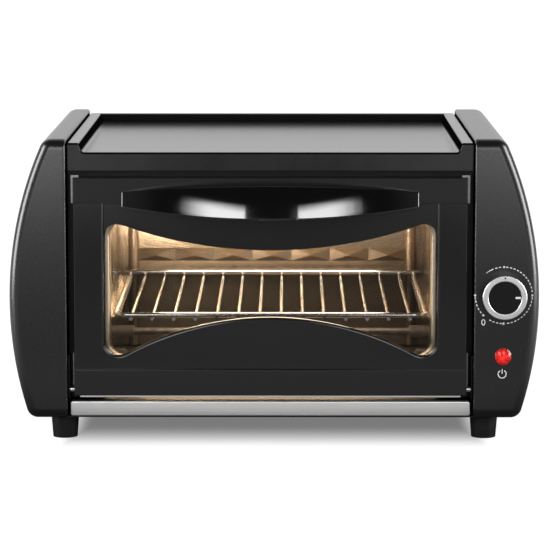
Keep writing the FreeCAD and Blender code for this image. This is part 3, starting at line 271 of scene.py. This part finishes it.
def tray_enamel():
    """Enamel of the top panel: a painted reflection makes it greyer on the fascia, more so towards
    the fascia's ends;
    painted shade makes it deep black, with less specular, on the fascia's brow, on the tray's side
    walls and, less so, on the inside of its back rim."""
    made = Surface("tray_black")
    tree = made.tree
    facing = axes(tree, "Normal")
    spot = axes(tree, "Object")
    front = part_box("top_panel")[0].y

    def ahead(reach):
        return eased(tree, spot["Y"], (front + reach[0], front + reach[1]), 1.0, 0.0)

    def inverse(share):
        return eased(tree, share, (0.0, 1.0), 1.0, 0.0)

    fascia = ahead(FASCIA_DEPTH)
    # painted reflection: the fascia greyer towards its ends
    fascia_sheen = eased(tree, absolute(tree, spot["X"]), FASCIA_MIDDLE, *FASCIA_SHEEN_TONE)
    wall = eased(tree, absolute(tree, facing["X"]), (0.4, 0.9))
    brow = multiplied(tree, ahead(BROW_DEPTH), eased(tree, facing["Z"], (0.15, 0.4)))
    rim = multiplied(tree, eased(tree, facing["Y"], (-0.9, -0.4), RIM_SHADE_SHARE, 0.0), inverse(fascia))
    # painted shade: deep black on the brow, the tray's side walls and the inside of the back rim
    shaded_and_dull = larger(tree, larger(tree, wall, brow), rim)
    tone = spread(tree, made.noise(45, 5), 0.45, 0.55)
    tone = multiplied(tree, added(tree, tone, multiplied(tree, fascia, fascia_sheen)), inverse(shaded_and_dull))
    made.colour(tone, [(0.0, grey(0.004)), (0.45, grey(0.030)), (0.55, grey(0.034)),
                       (0.60, grey(0.018)), (1.0, grey(0.039))])
    made.link(mixed(tree, shaded_and_dull, 0.2, 0.0), made.shader.inputs["Specular IOR Level"])
    made.orange_peel((0.19, 0.21))
    return made.material


HANDLE_SHEEN_ENDS = (0.092, 0.128)


def handle_gloss():
    """Glossy plastic, with a painted sheen that makes it a little greyer at the two ends of the
    handle.
    """
    made = Surface("handle_black", Specular_IOR_Level=0.6)
    across = absolute(made.tree, axes(made.tree, "Object")["X"])
    # painted sheen: greyer towards the handle's two ends
    ends = eased(made.tree, across, HANDLE_SHEEN_ENDS, 0.0, 0.9)
    tone = added(made.tree, ends, spread(made.tree, made.noise(60, 4), 0.0, 0.05))
    made.colour(tone, [(0.0, grey(0.0008)), (0.05, grey(0.0012)), (0.95, grey(0.0125))])
    made.mould_grain((0.065, 0.075), 2e-7)
    return made.material


LIP_DEPTH = (0.004, 0.009)


def tray_lip():
    """Aluminium, darkened towards the lower edge of the front lip by painted shade, and browned on
    the tray behind.
    """
    made = Surface("tray_lip", Metallic=1.0)
    tree = made.tree
    spot = axes(tree, "Object")
    low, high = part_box("crumb_tray")
    # painted shade: the front lip darker towards its lower edge
    height = spread(tree, spot["Z"], 0.25, 0.88, low.z, high.z)
    tone = added(tree, height, spread(tree, brush_tone(made, ALONG_TRAY), 0.0, 0.12))
    lip = eased(tree, spot["Y"], (low.y + LIP_DEPTH[0], low.y + LIP_DEPTH[1]), 1.0, 0.0)
    made.colour(multiplied(tree, tone, lip), [(0.0, (0.14, 0.114, 0.085)), (0.25, grey(0.56)),
                                              (0.62, grey(0.82)), (1.0, grey(0.95))])
    made.brush_lines((0.3, 0.38), ALONG_TRAY)
    return made.material


MOUTH_SHADE_HEIGHT = (0.070, 0.105)


def mouth_steel():
    """Bright steel of the mouth's trim ring, with painted shade that darkens its lower corners to
    brown.
    """
    made = Surface("mouth_steel", Metallic=1.0)
    # painted shade: the lower corners dark brown
    height = eased(made.tree, axes(made.tree, "Object")["Z"], MOUTH_SHADE_HEIGHT, 0.0, 0.9)
    tone = added(made.tree, height, spread(made.tree, brush_tone(made, ALONG_STEEL), 0.0, 0.1))
    made.colour(tone, [(0.0, (0.10, 0.080, 0.056)), (0.9, (0.40, 0.33, 0.245)),
                       (1.0, (0.47, 0.39, 0.295))])
    made.brush_lines((0.26, 0.34), ALONG_STEEL)
    return made.material


def heating_sheath():
    """Oxidised steel of the heating tubes."""
    made = Surface("element_sheath", Metallic=0.85)
    made.mottle(made.noise(120, 5), (0.045, 0.038, 0.031), (0.11, 0.092, 0.075))
    made.rough(made.noise(400, 4), 0.35, 0.6)
    made.bump(made.noise(1600), 6e-6)
    return made.material


def glass():
    """Clear glass with a brown tint, thin enough not to bend the view."""
    made = Surface("door_glass", Roughness=0.02, Alpha=0.10, Specular_IOR_Level=0.5)
    made.mottle(made.noise(30), (0.030, 0.024, 0.018), (0.042, 0.034, 0.026))
    return made.material


def glazed():
    """Glazed ceramic, given a dark brown that is painted shade of the cavity's lower corners."""
    made = Surface("ceramic_white", Roughness=0.3)
    # painted shade: the ceramic made dark brown
    made.mottle(made.noise(140, 5), (0.042, 0.034, 0.026), (0.066, 0.054, 0.042))
    made.bump(made.noise(700), 1e-5)
    return made.material


def printed():
    """White pad-printed ink."""
    made = Surface("mark_white", Roughness=0.5)
    made.mottle(made.noise(900, 4), grey(0.76), grey(0.9))
    made.bump(made.noise(2500, 2), 4e-6)
    return made.material


GLOW_COLOUR = (1.0, 0.02, 0.015, 1)
GLOW_REACH = (0.002, 0.007)


def lamp_red():
    """Red plastic of the pilot lens, lit from behind its middle."""
    made = Surface("lamp_red", Roughness=0.12, Coat_Weight=0.15, Coat_Roughness=0.06,
                   Specular_IOR_Level=0.3)
    tree = made.tree
    glow = made.noise(420)
    made.mottle(glow, (0.30, 0.003, 0.003), (0.85, 0.03, 0.02))
    made.shader.inputs["Emission Color"].default_value = GLOW_COLOUR
    spot = axes(tree, "Object")
    across = arithmetic(tree, "SUBTRACT", spot["X"], CONTROL_X)
    up = arithmetic(tree, "SUBTRACT", spot["Z"], LAMP_Z)
    square = added(tree, multiplied(tree, across, across), multiplied(tree, up, up))
    middle = eased(tree, arithmetic(tree, "SQRT", square), GLOW_REACH, 1.0, 0.08)
    strength = multiplied(tree, middle, spread(tree, glow, 0.25, 0.80))
    made.link(strength, made.shader.inputs["Emission Strength"])
    return made.material


def braided_sleeve():
    """Braided glass-fibre sleeve of the leads."""
    made = Surface("wire_sleeve", Roughness=0.7)
    weave = made.node("ShaderNodeTexWave", Scale=900, Distortion=1.5)
    made.link(made.coords(), weave.inputs["Vector"])
    made.mottle(weave.outputs["Fac"], (0.34, 0.05, 0.03), (0.62, 0.14, 0.09))
    made.bump(weave.outputs["Fac"], 8e-5)
    return made.material


MATERIALS = {
    "satin_black": moulded("satin_black", grey(0.0040), grey(0.0045), (0.270, 0.282), 1e-6),
    "painted_black": painted("painted_black", grey(0.0062), grey(0.0068), (0.135, 0.150)),
    "mask_black": painted("mask_black", grey(0.0074, 0.06), grey(0.0082, 0.06), (0.17, 0.19),
                          Specular_IOR_Level=0.4),
    "door_glass": glass(),
    "handle_black": handle_gloss(),
    "cavity_steel": cavity_steel("cavity_steel", (0.11, 0.14)),
    "chrome_wire": brushed("chrome_wire", grey(0.40, 0.02), grey(0.50, 0.02), (0.14, 0.2)),
    "tray_aluminium": brushed("tray_aluminium", grey(0.64), grey(0.72), (0.3, 0.38), ALONG_TRAY),
    "ceramic_white": glazed(),
    "screw_steel": brushed("screw_steel", grey(0.42), grey(0.58), (0.28, 0.4)),
    "element_sheath": heating_sheath(),
    "knob_black": moulded("knob_black", grey(0.0024), grey(0.0030), (0.12, 0.13), 5e-7),
    "knob_silver": brushed("knob_silver", grey(0.61), grey(0.71), (0.28, 0.36)),
    "mark_white": printed(),
    "switch_plastic": moulded("switch_plastic", grey(0.03), grey(0.04), (0.4, 0.5)),
    "lamp_red": lamp_red(),
    "foot_black": moulded("foot_black", grey(0.0105), grey(0.0120), (0.34, 0.42), 6e-6,
                          Specular_IOR_Level=0.3),
    "wire_sleeve": braided_sleeve(),
}
# Painted shade: the front frame and chassis sides, seen in the gaps round the door, get a darker
# and less glossy black than the other enamel.
GAP_SHADE_BLACK = painted("frame_shade_black", grey(0.0030), grey(0.0038), (0.42, 0.5),
                      Specular_IOR_Level=0.12)
# Painted shade: the glass retainers' bare steel, seen in the gaps round the door, made dark grey.
SHADED_STEEL = brushed("shaded_steel", grey(0.135), grey(0.175), (0.34, 0.42), ALONG_STEEL)
# Materials of single nodes: real finishes, and several that carry painted light and shade.
OWN_FINISH_AND_PAINTED_LIGHT = {
    "top_panel": tray_enamel(),
    # Painted light: the top rail gets a lighter black than the door's other enamel.
    "door_top_rail": painted("top_rail_lit_black", grey(0.0122), grey(0.0134), (0.29, 0.32),
                             Specular_IOR_Level=0.4),
    # Painted shade: the bottom rail gets a darker black than the door's other enamel.
    "door_bottom_rail": painted("low_rail_shaded_black", grey(0.0045), grey(0.0052), (0.29, 0.32),
                                Specular_IOR_Level=0.4),
    "mouth_trim": mouth_steel(),
    "cavity_back_wall": cavity_steel("back_wall_steel", (0.22, 0.27)),
    "crumb_tray": tray_lip(),
    "front_frame": GAP_SHADE_BLACK,
    "left_chassis_side": GAP_SHADE_BLACK,
    "right_chassis_side": GAP_SHADE_BLACK,
    "upper_glass_retainer": SHADED_STEEL,
    "lower_glass_retainer": SHADED_STEEL,
}

for subpart in frame["record"]["subparts"]:
    slots = nodes[subpart["node"]].data.materials
    slots.clear()
    slots.append(OWN_FINISH_AND_PAINTED_LIGHT.get(subpart["node"]) or MATERIALS[subpart["material_slot"]])


# Added pieces


def new_piece(name, mesh, body, slot, smooth=False):
    data = bpy.data.meshes.new(name)
    bmesh.ops.recalc_face_normals(mesh, faces=mesh.faces)
    mesh.to_mesh(data)
    mesh.free()
    piece = bpy.data.objects.new(name, data)
    scene.collection.objects.link(piece)
    data.materials.append(MATERIALS[slot])
    if smooth:
        data.shade_smooth()
    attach(piece, body)
    return piece


PRINT = 0.06 * MM


def plate(mesh, outline, y):
    """A thin layer of print facing the front, from an outline of (x, z) points."""
    face = mesh.faces.new([mesh.verts.new((x, y, z)) for x, z in outline])
    made = bmesh.ops.extrude_face_region(mesh, geom=[face])
    moved = [item for item in made["geom"] if isinstance(item, bmesh.types.BMVert)]
    bmesh.ops.translate(mesh, verts=moved, vec=(0, -PRINT, 0))


def bar(mesh, x, half, low, high, y):
    """An upright bar of print."""
    plate(mesh, [(x - half, low), (x + half, low), (x + half, high), (x - half, high)], y)


def clock_point(centre, angle, radius):
    """The point at a clock angle in degrees round a centre of the control face."""
    turn = math.radians(angle)
    return centre[0] + radius * math.sin(turn), centre[1] + radius * math.cos(turn)


def oval(centre, half_width, half_height, count):
    return [(centre[0] + half_width * math.sin(2 * math.pi * k / count),
             centre[1] + half_height * math.cos(2 * math.pi * k / count)) for k in range(count)]


ARC_STEP = 2


def arc_mark(mesh, centre, start, end, radius, widths):
    """A printed arc between two clock angles, its width running from the first to the last."""
    count = max(2, int((end - start) / ARC_STEP) + 1)
    outer = []
    inner = []
    for step in range(count):
        share = step / (count - 1)
        half = (widths[0] + (widths[1] - widths[0]) * share) / 2
        angle = start + (end - start) * share
        outer.append(clock_point(centre, angle, radius + half))
        inner.append(clock_point(centre, angle, radius - half))
    for step in range(count - 1):
        plate(mesh, [outer[step], outer[step + 1], inner[step + 1], inner[step]], FRONT)


DOT_SIDES = 16


def dot_mark(mesh, place, radius, y):
    plate(mesh, oval(place, radius, radius, DOT_SIDES), y)


KNOB_CENTRE = (CONTROL_X, KNOB_Z)
SCALE_RADIUS = 24.4 * MM
SCALE_DOT = 0.95 * MM
SCALE_DOTS = (0, 90, 180, 225, 270)
DASH = 4.4
DASH_PITCH = 7.45
DASH_WIDTH = 0.9 * MM
DASH_COUNT = 32
DASH_START = 342
DASH_END = 360 + 211
DASHED_DOTS = (0, 90, 180)
DOT_CLEARANCE = 4.5
LAST_DASHES = (231, 239, 247, 255, 262)
WEDGE = (321, 338)
WEDGE_WIDTHS = (0.3 * MM, 0.95 * MM)


def apart(first, second):
    """The angle between two clock angles."""
    return abs((first - second + 180) % 360 - 180)


def dial_scale():
    """Dots and dashes round the knob, with a wedge where the scale begins."""
    mesh = bmesh.new()
    for angle in SCALE_DOTS:
        dot_mark(mesh, clock_point(KNOB_CENTRE, angle, SCALE_RADIUS), SCALE_DOT, FRONT)
    arc_mark(mesh, KNOB_CENTRE, *WEDGE, SCALE_RADIUS, WEDGE_WIDTHS)
    starts = []
    for number in range(DASH_COUNT):
        start = DASH_START + number * DASH_PITCH
        middle = (start + DASH / 2) % 360
        clear = all(apart(middle, angle) > DOT_CLEARANCE for angle in DASHED_DOTS)
        if clear and start + DASH < DASH_END:
            starts.append(start)
    for start in (*starts, *LAST_DASHES):
        arc_mark(mesh, KNOB_CENTRE, start, start + DASH, SCALE_RADIUS, (DASH_WIDTH, DASH_WIDTH))
    return new_piece("dial_scale", mesh, "oven", "mark_white")


ZERO_CENTRE = (CONTROL_X - 17.2 * MM, KNOB_Z - 23.3 * MM)
ZERO_OUTER = (1.75 * MM, 2.75 * MM)
ZERO_INNER = (1.0 * MM, 2.0 * MM)
ZERO_SIDES = 28


def dial_zero():
    """The figure 0 as an oval ring."""
    mesh = bmesh.new()
    outer = oval(ZERO_CENTRE, *ZERO_OUTER, ZERO_SIDES)
    inner = oval(ZERO_CENTRE, *ZERO_INNER, ZERO_SIDES)
    for k in range(ZERO_SIDES):
        after = (k + 1) % ZERO_SIDES
        plate(mesh, [outer[k], outer[after], inner[after], inner[k]], FRONT)
    return new_piece("dial_zero", mesh, "oven", "mark_white")


POWER_CENTRE = (CONTROL_X - 0.6 * MM, LAMP_Z - 15.3 * MM)
POWER_ARC = (32, 328)
POWER_RADIUS = 3.4 * MM
POWER_STROKE = 0.85 * MM
POWER_BAR_HALF = 0.43 * MM
POWER_BAR = (0.3 * MM, 4.2 * MM)


def power_mark():
    """The power symbol under the pilot lamp: an open ring and a bar."""
    mesh = bmesh.new()
    arc_mark(mesh, POWER_CENTRE, *POWER_ARC, POWER_RADIUS, (POWER_STROKE, POWER_STROKE))
    x, z = POWER_CENTRE
    bar(mesh, x, POWER_BAR_HALF, z + POWER_BAR[0], z + POWER_BAR[1], FRONT)
    return new_piece("power_mark", mesh, "oven", "mark_white")


KNOB_DOT_PLACE = 16.8 * MM
KNOB_DOT = 0.75 * MM
KNOB_LINE_HALF = 0.28 * MM
KNOB_LINE = (8.2 * MM, 12.6 * MM)


def knob_marks():
    """A small dot on the silver ring and a short line on the cap under it."""
    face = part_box("knob_ring")[0].y
    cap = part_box("timer_knob")[0].y
    dot = bmesh.new()
    dot_mark(dot, clock_point(KNOB_CENTRE, 0, KNOB_DOT_PLACE), KNOB_DOT, face)
    new_piece("knob_dot", dot, "knob", "knob_black")
    line = bmesh.new()
    bar(line, CONTROL_X, KNOB_LINE_HALF, KNOB_Z + KNOB_LINE[0], KNOB_Z + KNOB_LINE[1], cap)
    new_piece("knob_line", line, "knob", "handle_black")


# Share of the lens radius, rise in mm, number of corners, turn in corner pitches
LENS_RINGS = ((1.0, 0.0, 24, 0), (1.0, 1.2, 24, 0), (0.93, 1.6, 24, 0), (0.72, 2.6, 12, 0),
              (0.40, 3.3, 12, 0.5), (0.14, 3.55, 6, 0))


def join_rings(mesh, below, above, turned):
    """Faces between two rings of the lens: facets where the upper ring is coarser or turned."""
    for k in range(len(above)):
        after = (k + 1) % len(above)
        if len(below) == 2 * len(above):
            first = below[2 * k]
            second = below[2 * k + 1]
            third = below[(2 * k + 2) % len(below)]
            mesh.faces.new((first, second, above[k]))
            mesh.faces.new((second, above[after], above[k]))
            mesh.faces.new((second, third, above[after]))
        elif turned:
            mesh.faces.new((below[k], below[after], above[k]))
            mesh.faces.new((below[after], above[after], above[k]))
        else:
            mesh.faces.new((below[k], below[after], above[after], above[k]))


def faceted_lens():
    """The red pilot lens: a low dome cut into facets on a plain rim."""
    low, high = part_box("pilot_lens")
    radius = (high.x - low.x) / 2
    mesh = bmesh.new()
    levels = []
    for share, rise, count, turn in LENS_RINGS:
        angles = [2 * math.pi * (k + turn) / count for k in range(count)]
        levels.append([mesh.verts.new((CONTROL_X + radius * share * math.sin(angle),
                                       FRONT - rise * MM,
                                       LAMP_Z + radius * share * math.cos(angle)))
                       for angle in angles])
    for below, above, ring in zip(levels, levels[1:], LENS_RINGS[1:]):
        join_rings(mesh, below, above, ring[3] > 0)
    mesh.faces.new(levels[-1])
    mesh.faces.new(list(reversed(levels[0])))
    piece = new_piece("faceted_lens", mesh, "oven", "lamp_red")
    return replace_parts(piece, "pilot_lens")


HEAD_SIDES = 48
HEAD_RINGS = 14
HEAD_EDGE = 0.55
RECESS_HALF = 0.13
RECESS_REACH = 0.55
RECESS_DEPTH = 0.45


def screw_head(mesh, spot, outward, radius, height):
    """A domed pan head with a cross recess, standing outward of its seat."""
    side = outward.orthogonal().normalized()
    other = outward.cross(side)
    turns = [2 * math.pi * k / HEAD_SIDES for k in range(HEAD_SIDES)]

    def vertex(u, v, rise):
        return mesh.verts.new(spot + (side * u + other * v) * radius + outward * rise)

    rows = [[vertex(math.cos(turn), math.sin(turn), 0.0) for turn in turns]]
    for ring in range(HEAD_RINGS + 1):
        share = 1 - ring / HEAD_RINGS
        dome = height * (HEAD_EDGE + (1 - HEAD_EDGE) * math.sqrt(max(0.0, 1 - share ** 2)))
        row = []
        for turn in turns:
            u = math.cos(turn) * share
            v = math.sin(turn) * share
            near, far = sorted((abs(u), abs(v)))
            recessed = near < RECESS_HALF and far < RECESS_REACH
            row.append(vertex(u, v, dome - (RECESS_DEPTH * height if recessed else 0.0)))
        rows.append(row)
    for lower, upper in zip(rows, rows[1:]):
        for k in range(HEAD_SIDES):
            after = (k + 1) % HEAD_SIDES
            mesh.faces.new((lower[k], lower[after], upper[after], upper[k]))
    bmesh.ops.remove_doubles(mesh, verts=mesh.verts, dist=1e-7)


def node_islands(name):
    """The boxes of a node's separate solids."""
    data = nodes[name].data
    parent = list(range(len(data.vertices)))

    def root(index):
        while parent[index] != index:
            parent[index] = parent[parent[index]]
            index = parent[index]
        return index

    places = {}
    for vertex in data.vertices:
        key = tuple(round(number * 1e6) for number in vertex.co)
        parent[vertex.index] = places.setdefault(key, vertex.index)
    for edge in data.edges:
        parent[root(edge.vertices[0])] = root(edge.vertices[1])
    groups = {}
    for vertex in data.vertices:
        groups.setdefault(root(vertex.index), []).append(vertex.co)
    boxes = [(Vector(map(min, *points)), Vector(map(max, *points))) for points in groups.values()]
    return sorted(boxes, key=lambda pair: tuple(pair[0]))


def back_screw_heads():
    """The heads of the back panel's screws."""
    mesh = bmesh.new()
    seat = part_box("back_panel")[1].y
    for low, high in node_islands("back_screws"):
        spot = Vector(((low.x + high.x) / 2, seat, (low.z + high.z) / 2))
        screw_head(mesh, spot, Vector((0, 1, 0)), (high.x - low.x) / 2, high.y - seat)
    piece = new_piece("back_screw_heads", mesh, "oven", "screw_steel", True)
    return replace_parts(piece, "back_screws")


dial_scale()
dial_zero()
power_mark()
knob_marks()
faceted_lens()
back_screw_heads()


# Studio

FLOOR_SIZE = 40
FLOOR_SEEN = (0.19, 0.95)
FLOOR_MATT = (0.28, 0.18)
FLOOR_GLOSS_SIDE = (0.0, 0.9)
FLOOR_GLOSS_FRONT = (0.0, 0.75)
FLOOR_GLOSS_FAR = 0.05
SHADOW_SIDE = (0.162, 0.190)
SHADOW_DEPTH = (0.070, 0.200)
GLOSS_SIDE = (0.24, 0.55)
GLOSS_NEAR = (0.22, 0.42)
GLOSS_FAR = (0.34, 0.50)


def reach_share(tree, axis, reach):
    """0 under the oven, 1 away from it along one axis."""
    return eased(tree, absolute(tree, axes(tree, "Object")[axis]), reach)


def mirror_ray(tree, path):
    return larger(tree, path.outputs["Is Glossy Ray"], path.outputs["Is Transmission Ray"])


def floor():
    """A pale floor that keeps the shadow; away from the oven it is lifted to white."""
    mesh = bmesh.new()
    bmesh.ops.create_grid(mesh, x_segments=8, y_segments=8, size=FLOOR_SIZE)
    data = bpy.data.meshes.new("floor")
    mesh.to_mesh(data)
    mesh.free()
    ground = bpy.data.objects.new("floor", data)
    scene.collection.objects.link(ground)
    material = bpy.data.materials.new("floor")
    material.use_nodes = True
    data.materials.append(material)
    tree = material.node_tree
    tree.nodes.clear()
    path = tree.nodes.new("ShaderNodeLightPath")
    clear = larger(tree, reach_share(tree, "X", SHADOW_SIDE), reach_share(tree, "Y", SHADOW_DEPTH))
    seen = multiplied(tree, mixed(tree, clear, *FLOOR_SEEN), path.outputs["Is Camera Ray"])
    near = mixed(tree, reach_share(tree, "Y", GLOSS_NEAR), *FLOOR_GLOSS_FRONT)
    fading = mixed(tree, reach_share(tree, "Y", GLOSS_FAR), 1.0,
                   FLOOR_GLOSS_FAR / FLOOR_GLOSS_FRONT[1])
    aside = mixed(tree, reach_share(tree, "X", GLOSS_SIDE), *FLOOR_GLOSS_SIDE)
    gloss = larger(tree, aside, multiplied(tree, near, fading))
    mirrored = multiplied(tree, gloss, mirror_ray(tree, path))
    lift = tree.nodes.new("ShaderNodeEmission")
    tree.links.new(larger(tree, seen, mirrored), lift.inputs["Strength"])
    matt = tree.nodes.new("ShaderNodeBsdfDiffuse")
    shade = mixed(tree, path.outputs["Is Glossy Ray"], *FLOOR_MATT)
    tree.links.new(shade, matt.inputs["Color"])
    both = tree.nodes.new("ShaderNodeAddShader")
    tree.links.new(matt.outputs[0], both.inputs[0])
    tree.links.new(lift.outputs[0], both.inputs[1])
    out = tree.nodes.new("ShaderNodeOutputMaterial")
    tree.links.new(both.outputs[0], out.inputs["Surface"])


WORLD_FILL = 0.45
WORLD_FRONT = 0.06
WORLD_BACK = 1.0
WORLD_TURN = (0.2, 0.7)


def world():
    """White to the camera and behind the oven, and a dim studio in front of it."""
    made = bpy.data.worlds.new("studio")
    scene.world = made
    made.use_nodes = True
    tree = made.node_tree
    back = tree.nodes["Background"]
    back.inputs["Color"].default_value = (1, 1, 1, 1)
    path = tree.nodes.new("ShaderNodeLightPath")
    behind = eased(tree, axes(tree, "Generated")["Y"], WORLD_TURN, WORLD_FRONT, WORLD_BACK)
    mirrored = multiplied(tree, behind, mirror_ray(tree, path))
    fill = multiplied(tree, path.outputs["Is Diffuse Ray"], WORLD_FILL)
    strength = larger(tree, larger(tree, path.outputs["Is Camera Ray"], mirrored), fill)
    tree.links.new(strength, back.inputs["Strength"])


def softbox(name, spot, target, size, radiance, colour=(1, 1, 1), diffuse=True, glossy=True,
            only=(), spared=()):
    """A soft area light, which may be flagged to light only some nodes or to spare some."""
    data = bpy.data.lights.new(name, "AREA")
    data.shape = "RECTANGLE"
    data.size, data.size_y = size
    data.energy = radiance * math.pi * size[0] * size[1]
    data.color = colour
    lamp = bpy.data.objects.new(name, data)
    lamp.location = spot
    lamp.rotation_euler = (Vector(target) - Vector(spot)).to_track_quat("-Z", "Y").to_euler()
    scene.collection.objects.link(lamp)
    lamp.visible_camera = False
    lamp.visible_diffuse = diffuse
    lamp.visible_glossy = glossy
    if only or spared:
        flags = bpy.data.collections.new(name + "_flags")
        lamp.light_linking.receiver_collection = flags
        for node in only or spared:
            flags.objects.link(nodes[node])
        for entry in flags.collection_objects:
            entry.light_linking.link_state = "INCLUDE" if only else "EXCLUDE"
    return lamp


BAND_SLOPE = 0.55
BAND_BOTTOM = (-0.06, 0.06)
BAND_TOP = (0.17, 0.36)
BAND_OUTSIDE = (0.30, 0.54)


def handle_light(side, radiance):
    """The softbox mirrored in the bowed handle: a rising band, sharp towards the middle and
    fading outwards."""
    lamp = softbox("handle_%d" % (side + 1), spot=(side * 0.347, -0.92, 0.36),
                   target=(side * 0.347, 0, 0.36), size=(0.43, 0.60), radiance=radiance,
                   diffuse=False, only=("door_handle",))
    lamp.data.use_nodes = True
    tree = lamp.data.node_tree
    spot = axes(tree, "Position", "ShaderNodeNewGeometry")
    across = absolute(tree, spot["X"])
    level = arithmetic(tree, "SUBTRACT", spot["Z"], multiplied(tree, across, BAND_SLOPE))
    band = multiplied(tree, eased(tree, level, BAND_BOTTOM), eased(tree, level, BAND_TOP, 1.0, 0.0))
    shape = multiplied(tree, band, eased(tree, across, BAND_OUTSIDE, 1.0, 0.0))
    tree.links.new(shape, tree.nodes["Emission"].inputs["Strength"])


def lamps():
    softbox("overhead", spot=(0, -0.25, 1.7), target=(0, 0, 0.1), size=(1.6, 1.2), radiance=1.6,
            glossy=False)
    for side, handle_radiance, fill_radiance in ((-1, 17.5, 5.4), (1, 16.5, 4.3)):
        handle_light(side, handle_radiance)
        softbox("fill_%d" % (side + 1), spot=(side * 0.235, -0.93, 0.350),
                target=(side * -0.704, -0.587, 0.350), size=(0.62, 0.37), radiance=fill_radiance,
                spared=("door_handle", "top_panel", "door_top_rail"))
        softbox("side_%d" % (side + 1), spot=(side * 0.985, -0.335, 0.43),
                target=(side * 0.227, -0.145, 0.33), size=(0.42, 0.75), radiance=16.0,
                diffuse=False, spared=("door_panel",))
    softbox("front", spot=(0, -1.3, 0.33), target=(0, -0.15, 0.23), size=(1.2, 0.5), radiance=4.2,
            glossy=False, only=("top_panel", "door_top_rail", "door_handle"))
    softbox("cavity_glow", spot=(-0.0033, 0.005, 0.188), target=(-0.0033, 0.0, 0.1),
            size=(0.2, 0.2), radiance=14.5, colour=(1.0, 0.84, 0.64))
    softbox("facet_glow", spot=(-0.115, -0.03, 0.172), target=(0.03, 0.115, 0.135),
            size=(0.06, 0.04), radiance=150.0, colour=(1.0, 0.86, 0.68), only=("cavity_back_wall",))


CAMERA_SPOT = (0.01095, -2.525, 0.4886)
CAMERA_TILT = 8.2
CAMERA_TURN = 0.246
CAMERA_LENS = 184.5
CAMERA_SENSOR = 36


def camera():
    data = bpy.data.cameras.new("camera")
    data.lens = CAMERA_LENS
    data.sensor_width = CAMERA_SENSOR
    made = bpy.data.objects.new("camera", data)
    made.location = CAMERA_SPOT
    made.rotation_euler = (math.radians(90 - CAMERA_TILT), 0, math.radians(CAMERA_TURN))
    data.clip_start = 0.05
    data.clip_end = 200
    scene.collection.objects.link(made)
    scene.camera = made


floor()
world()
lamps()
camera()
